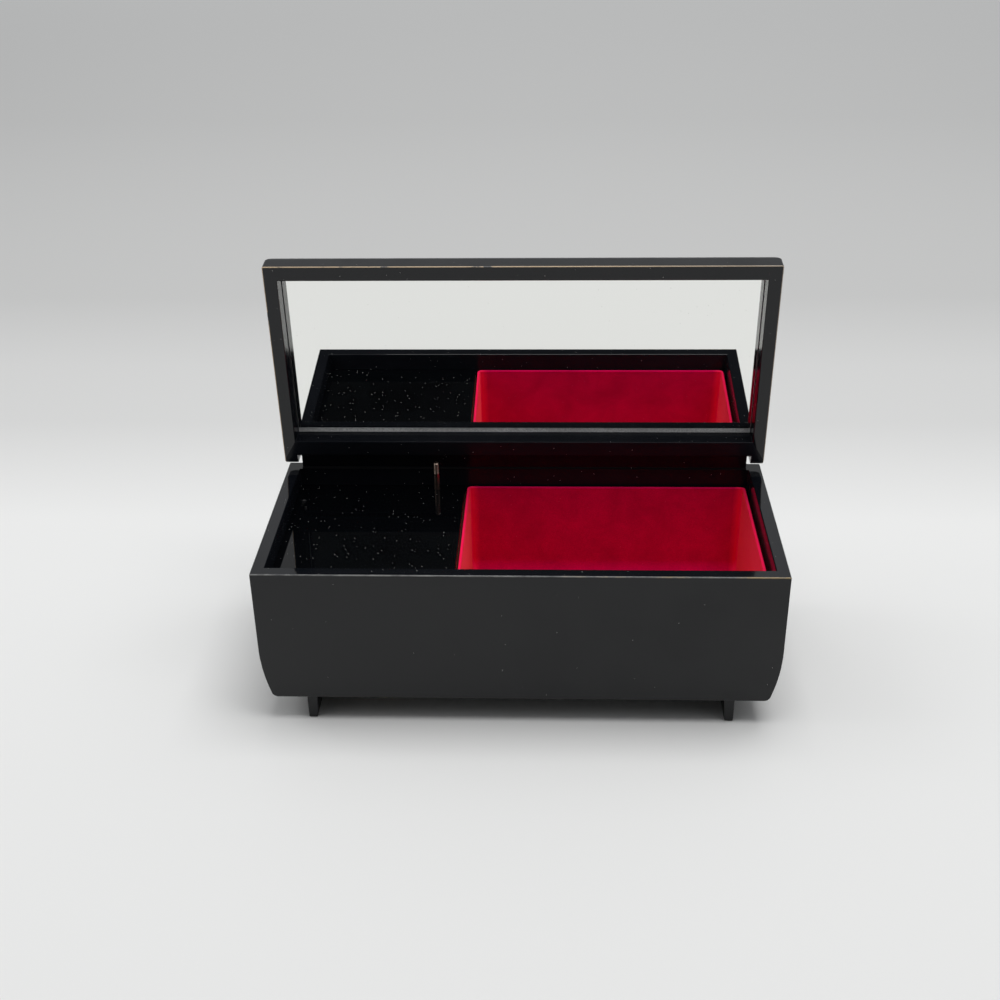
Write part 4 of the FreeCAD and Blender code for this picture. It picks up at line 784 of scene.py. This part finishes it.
CAST = metal("plated_casting", (0.56, 0.52, 0.42), (0.33, 0.29, 0.21), 0.42, (1, 1, 1), 420, 0.35)
coated(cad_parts["movement_bedplate"], CAST)
for name in ("train_plate", "governor_bracket", "barrel_bridge"):
    coated(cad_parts[name], BRASS)
for name in ("movement_mounting_screws", "comb_screws", "bridge_screws", "train_plate_screws",
             "governor_bracket_screw", "click_screw", "click"):
    coated(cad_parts[name], STEEL)
COMB_STEEL = metal("ground_comb_steel", (0.66, 0.66, 0.66), (0.45, 0.44, 0.43), 0.2, (0.05, 1, 1), 1200)
coated(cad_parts["note_comb"], COMB_STEEL)

# What turns in the movement: the spring housing with its crown wheel and blued mainspring, the pinned
# brass cylinder, the second arbor, and the worm, fan and brake disc of the governor.

for name in ("spring_housing", "winding_arbor", "ratchet_wheel", "cylinder_arbor", "intermediate_arbor",
             "governor_worm"):
    coated(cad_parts[name], STEEL)
for name in ("housing_crown_wheel", "pinned_cylinder", "cylinder_pinion", "cylinder_wheel", "worm_wheel"):
    coated(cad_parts[name], TURNED_BRASS)
coated(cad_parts["mainspring"], BLUED)
SHEET = metal("rolled_aluminium", (0.72, 0.73, 0.74), (0.52, 0.53, 0.54), 0.3, (0.1, 1, 1), 700)
for name in ("governor_fan", "brake_disc"):
    coated(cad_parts[name], SHEET)

# The winding key under the box: a stamped brass wing on a round hub, screwed onto the arbor's end.
# The wing is worn bright by fingers.

KEY_ARRIS = 0.35 * MM
key = copied("brass_winding_key", "winding_key")
eased(key, KEY_ARRIS)
coated(key, metal("handled_brass", (0.82, 0.62, 0.33), (0.48, 0.31, 0.14), 0.24, (1, 0.2, 0.2), 500, 0.1))
smoothed(key)
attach(key, "winding")
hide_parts("winding_key")

# Studio: one pale sheet whose colour holds painted shade that greys it behind the box,
# soft light from every side but the camera's, a large lamp above and a small one on the left,
# and the camera where the photograph was taken.

FLOOR_SIZE = 12
PAPER_NEAR, PAPER_FAR = -0.2, 1.8
# Painted shade: the paper's base colour falls from 0.825 to 0.588 behind the box and rises again far
# back.
PAPER_PAINTED_SHADE = ((-0.2, 0.80), (0.11, 0.825), (0.22, 0.672), (0.30, 0.662), (0.42, 0.588), (0.93, 0.66),
         (1.22, 0.745), (1.8, 0.91))
scene = bpy.context.scene
bpy.ops.object.select_all(action="DESELECT")
bpy.ops.mesh.primitive_grid_add(x_subdivisions=8, y_subdivisions=8, size=FLOOR_SIZE, location=(0, 2.0, 0))
floor = bpy.context.object
bpy.ops.object.transform_apply(location=True, rotation=True, scale=True)
floor.name = "paper_floor"
paper, tree, shader, place = finish("pale_paper_painted_shade", (0.76, 0.76, 0.75), Roughness=0.9, IOR=1.2)
shader.inputs["Specular IOR Level"].default_value = 0.0
apart = node(tree, "SeparateXYZ")
wire(tree, place, "Object", apart, "Vector")
distance = spread(tree, apart, "Y", 0.0, 1.0, PAPER_NEAR, PAPER_FAR)
ramp = node(tree, "ValToRGB")
wire(tree, distance, 0, ramp, "Fac")
while len(ramp.color_ramp.elements) < len(PAPER_PAINTED_SHADE):
    ramp.color_ramp.elements.new(0.5)
for stop, (where, tone) in zip(ramp.color_ramp.elements, PAPER_PAINTED_SHADE):
    stop.position = (where - PAPER_NEAR) / (PAPER_FAR - PAPER_NEAR)
    stop.color = (tone, tone, tone * 0.99, 1)
wire(tree, ramp, "Color", shader, "Base Color")
coated(floor, paper)

world = bpy.data.worlds.new("soft_room")
scene.world = world
world.use_nodes = True
sky = world.node_tree
ground = sky.nodes["Background"]
ground.inputs["Color"].default_value = (0.97, 0.985, 1.0, 1)
towards = node(sky, "TexCoord")
parts = node(sky, "SeparateXYZ")
wire(sky, towards, "Generated", parts, "Vector")
room = spread(sky, parts, "Y", 0.03, 0.55, -0.70, -0.25)
wire(sky, room, 0, ground, "Strength")
seen = node(sky, "Background", Color=(0.5, 0.505, 0.5, 1), Strength=1.0)
path = node(sky, "LightPath")
mixed = node(sky, "MixShader")
wire(sky, path, "Is Camera Ray", mixed, 0)
wire(sky, ground, 0, mixed, 1)
wire(sky, seen, 0, mixed, 2)
wire(sky, mixed, 0, sky.nodes["World Output"], 0)


def lamp(name, watts, across_m, where, towards):
    """A square soft light, turned to face one spot."""
    made = bpy.data.lights.new(name, "AREA")
    made.energy = watts
    made.size = across_m
    holder = bpy.data.objects.new(name, made)
    scene.collection.objects.link(holder)
    holder.location = where
    holder.rotation_euler = (Vector(towards) - Vector(where)).to_track_quat("-Z", "Y").to_euler()


lamp("top_lamp", 12.8, 0.9, (0.2, 0.0, 1.45), (0, 0, 0.05))
lamp("left_lamp", 1.8, 0.6, (-0.9, 0.1, 0.9), (0, 0, 0.05))

EYE = Vector((12.145, -468.69, 334.83)) * MM
PITCH_DOWN, YAW, ROLL = math.radians(29.173), math.radians(-2.503), math.radians(0.993)
FOCAL_PIXELS = 1353.6
PHOTO_PIXELS = 1000.0
SENSOR = 36.0
ahead = Vector((math.sin(YAW) * math.cos(PITCH_DOWN),
                math.cos(YAW) * math.cos(PITCH_DOWN),
                -math.sin(PITCH_DOWN)))
right = Vector((math.cos(YAW), -math.sin(YAW), 0))
down = ahead.cross(right)
image_x = math.cos(ROLL) * right + math.sin(ROLL) * down
image_y = -math.sin(ROLL) * right + math.cos(ROLL) * down
lens = bpy.data.cameras.new("photo_camera")
lens.sensor_width = SENSOR
lens.lens = FOCAL_PIXELS * SENSOR / PHOTO_PIXELS
lens.clip_start = 0.01
lens.clip_end = 50.0
camera = bpy.data.objects.new("photo_camera", lens)
scene.collection.objects.link(camera)
camera.matrix_world = Matrix((
    (image_x.x, -image_y.x, -ahead.x, EYE.x),
    (image_x.y, -image_y.y, -ahead.y, EYE.y),
    (image_x.z, -image_y.z, -ahead.z, EYE.z),
    (0, 0, 0, 1)))
scene.camera = camera
scene.view_settings.view_transform = "Standard"
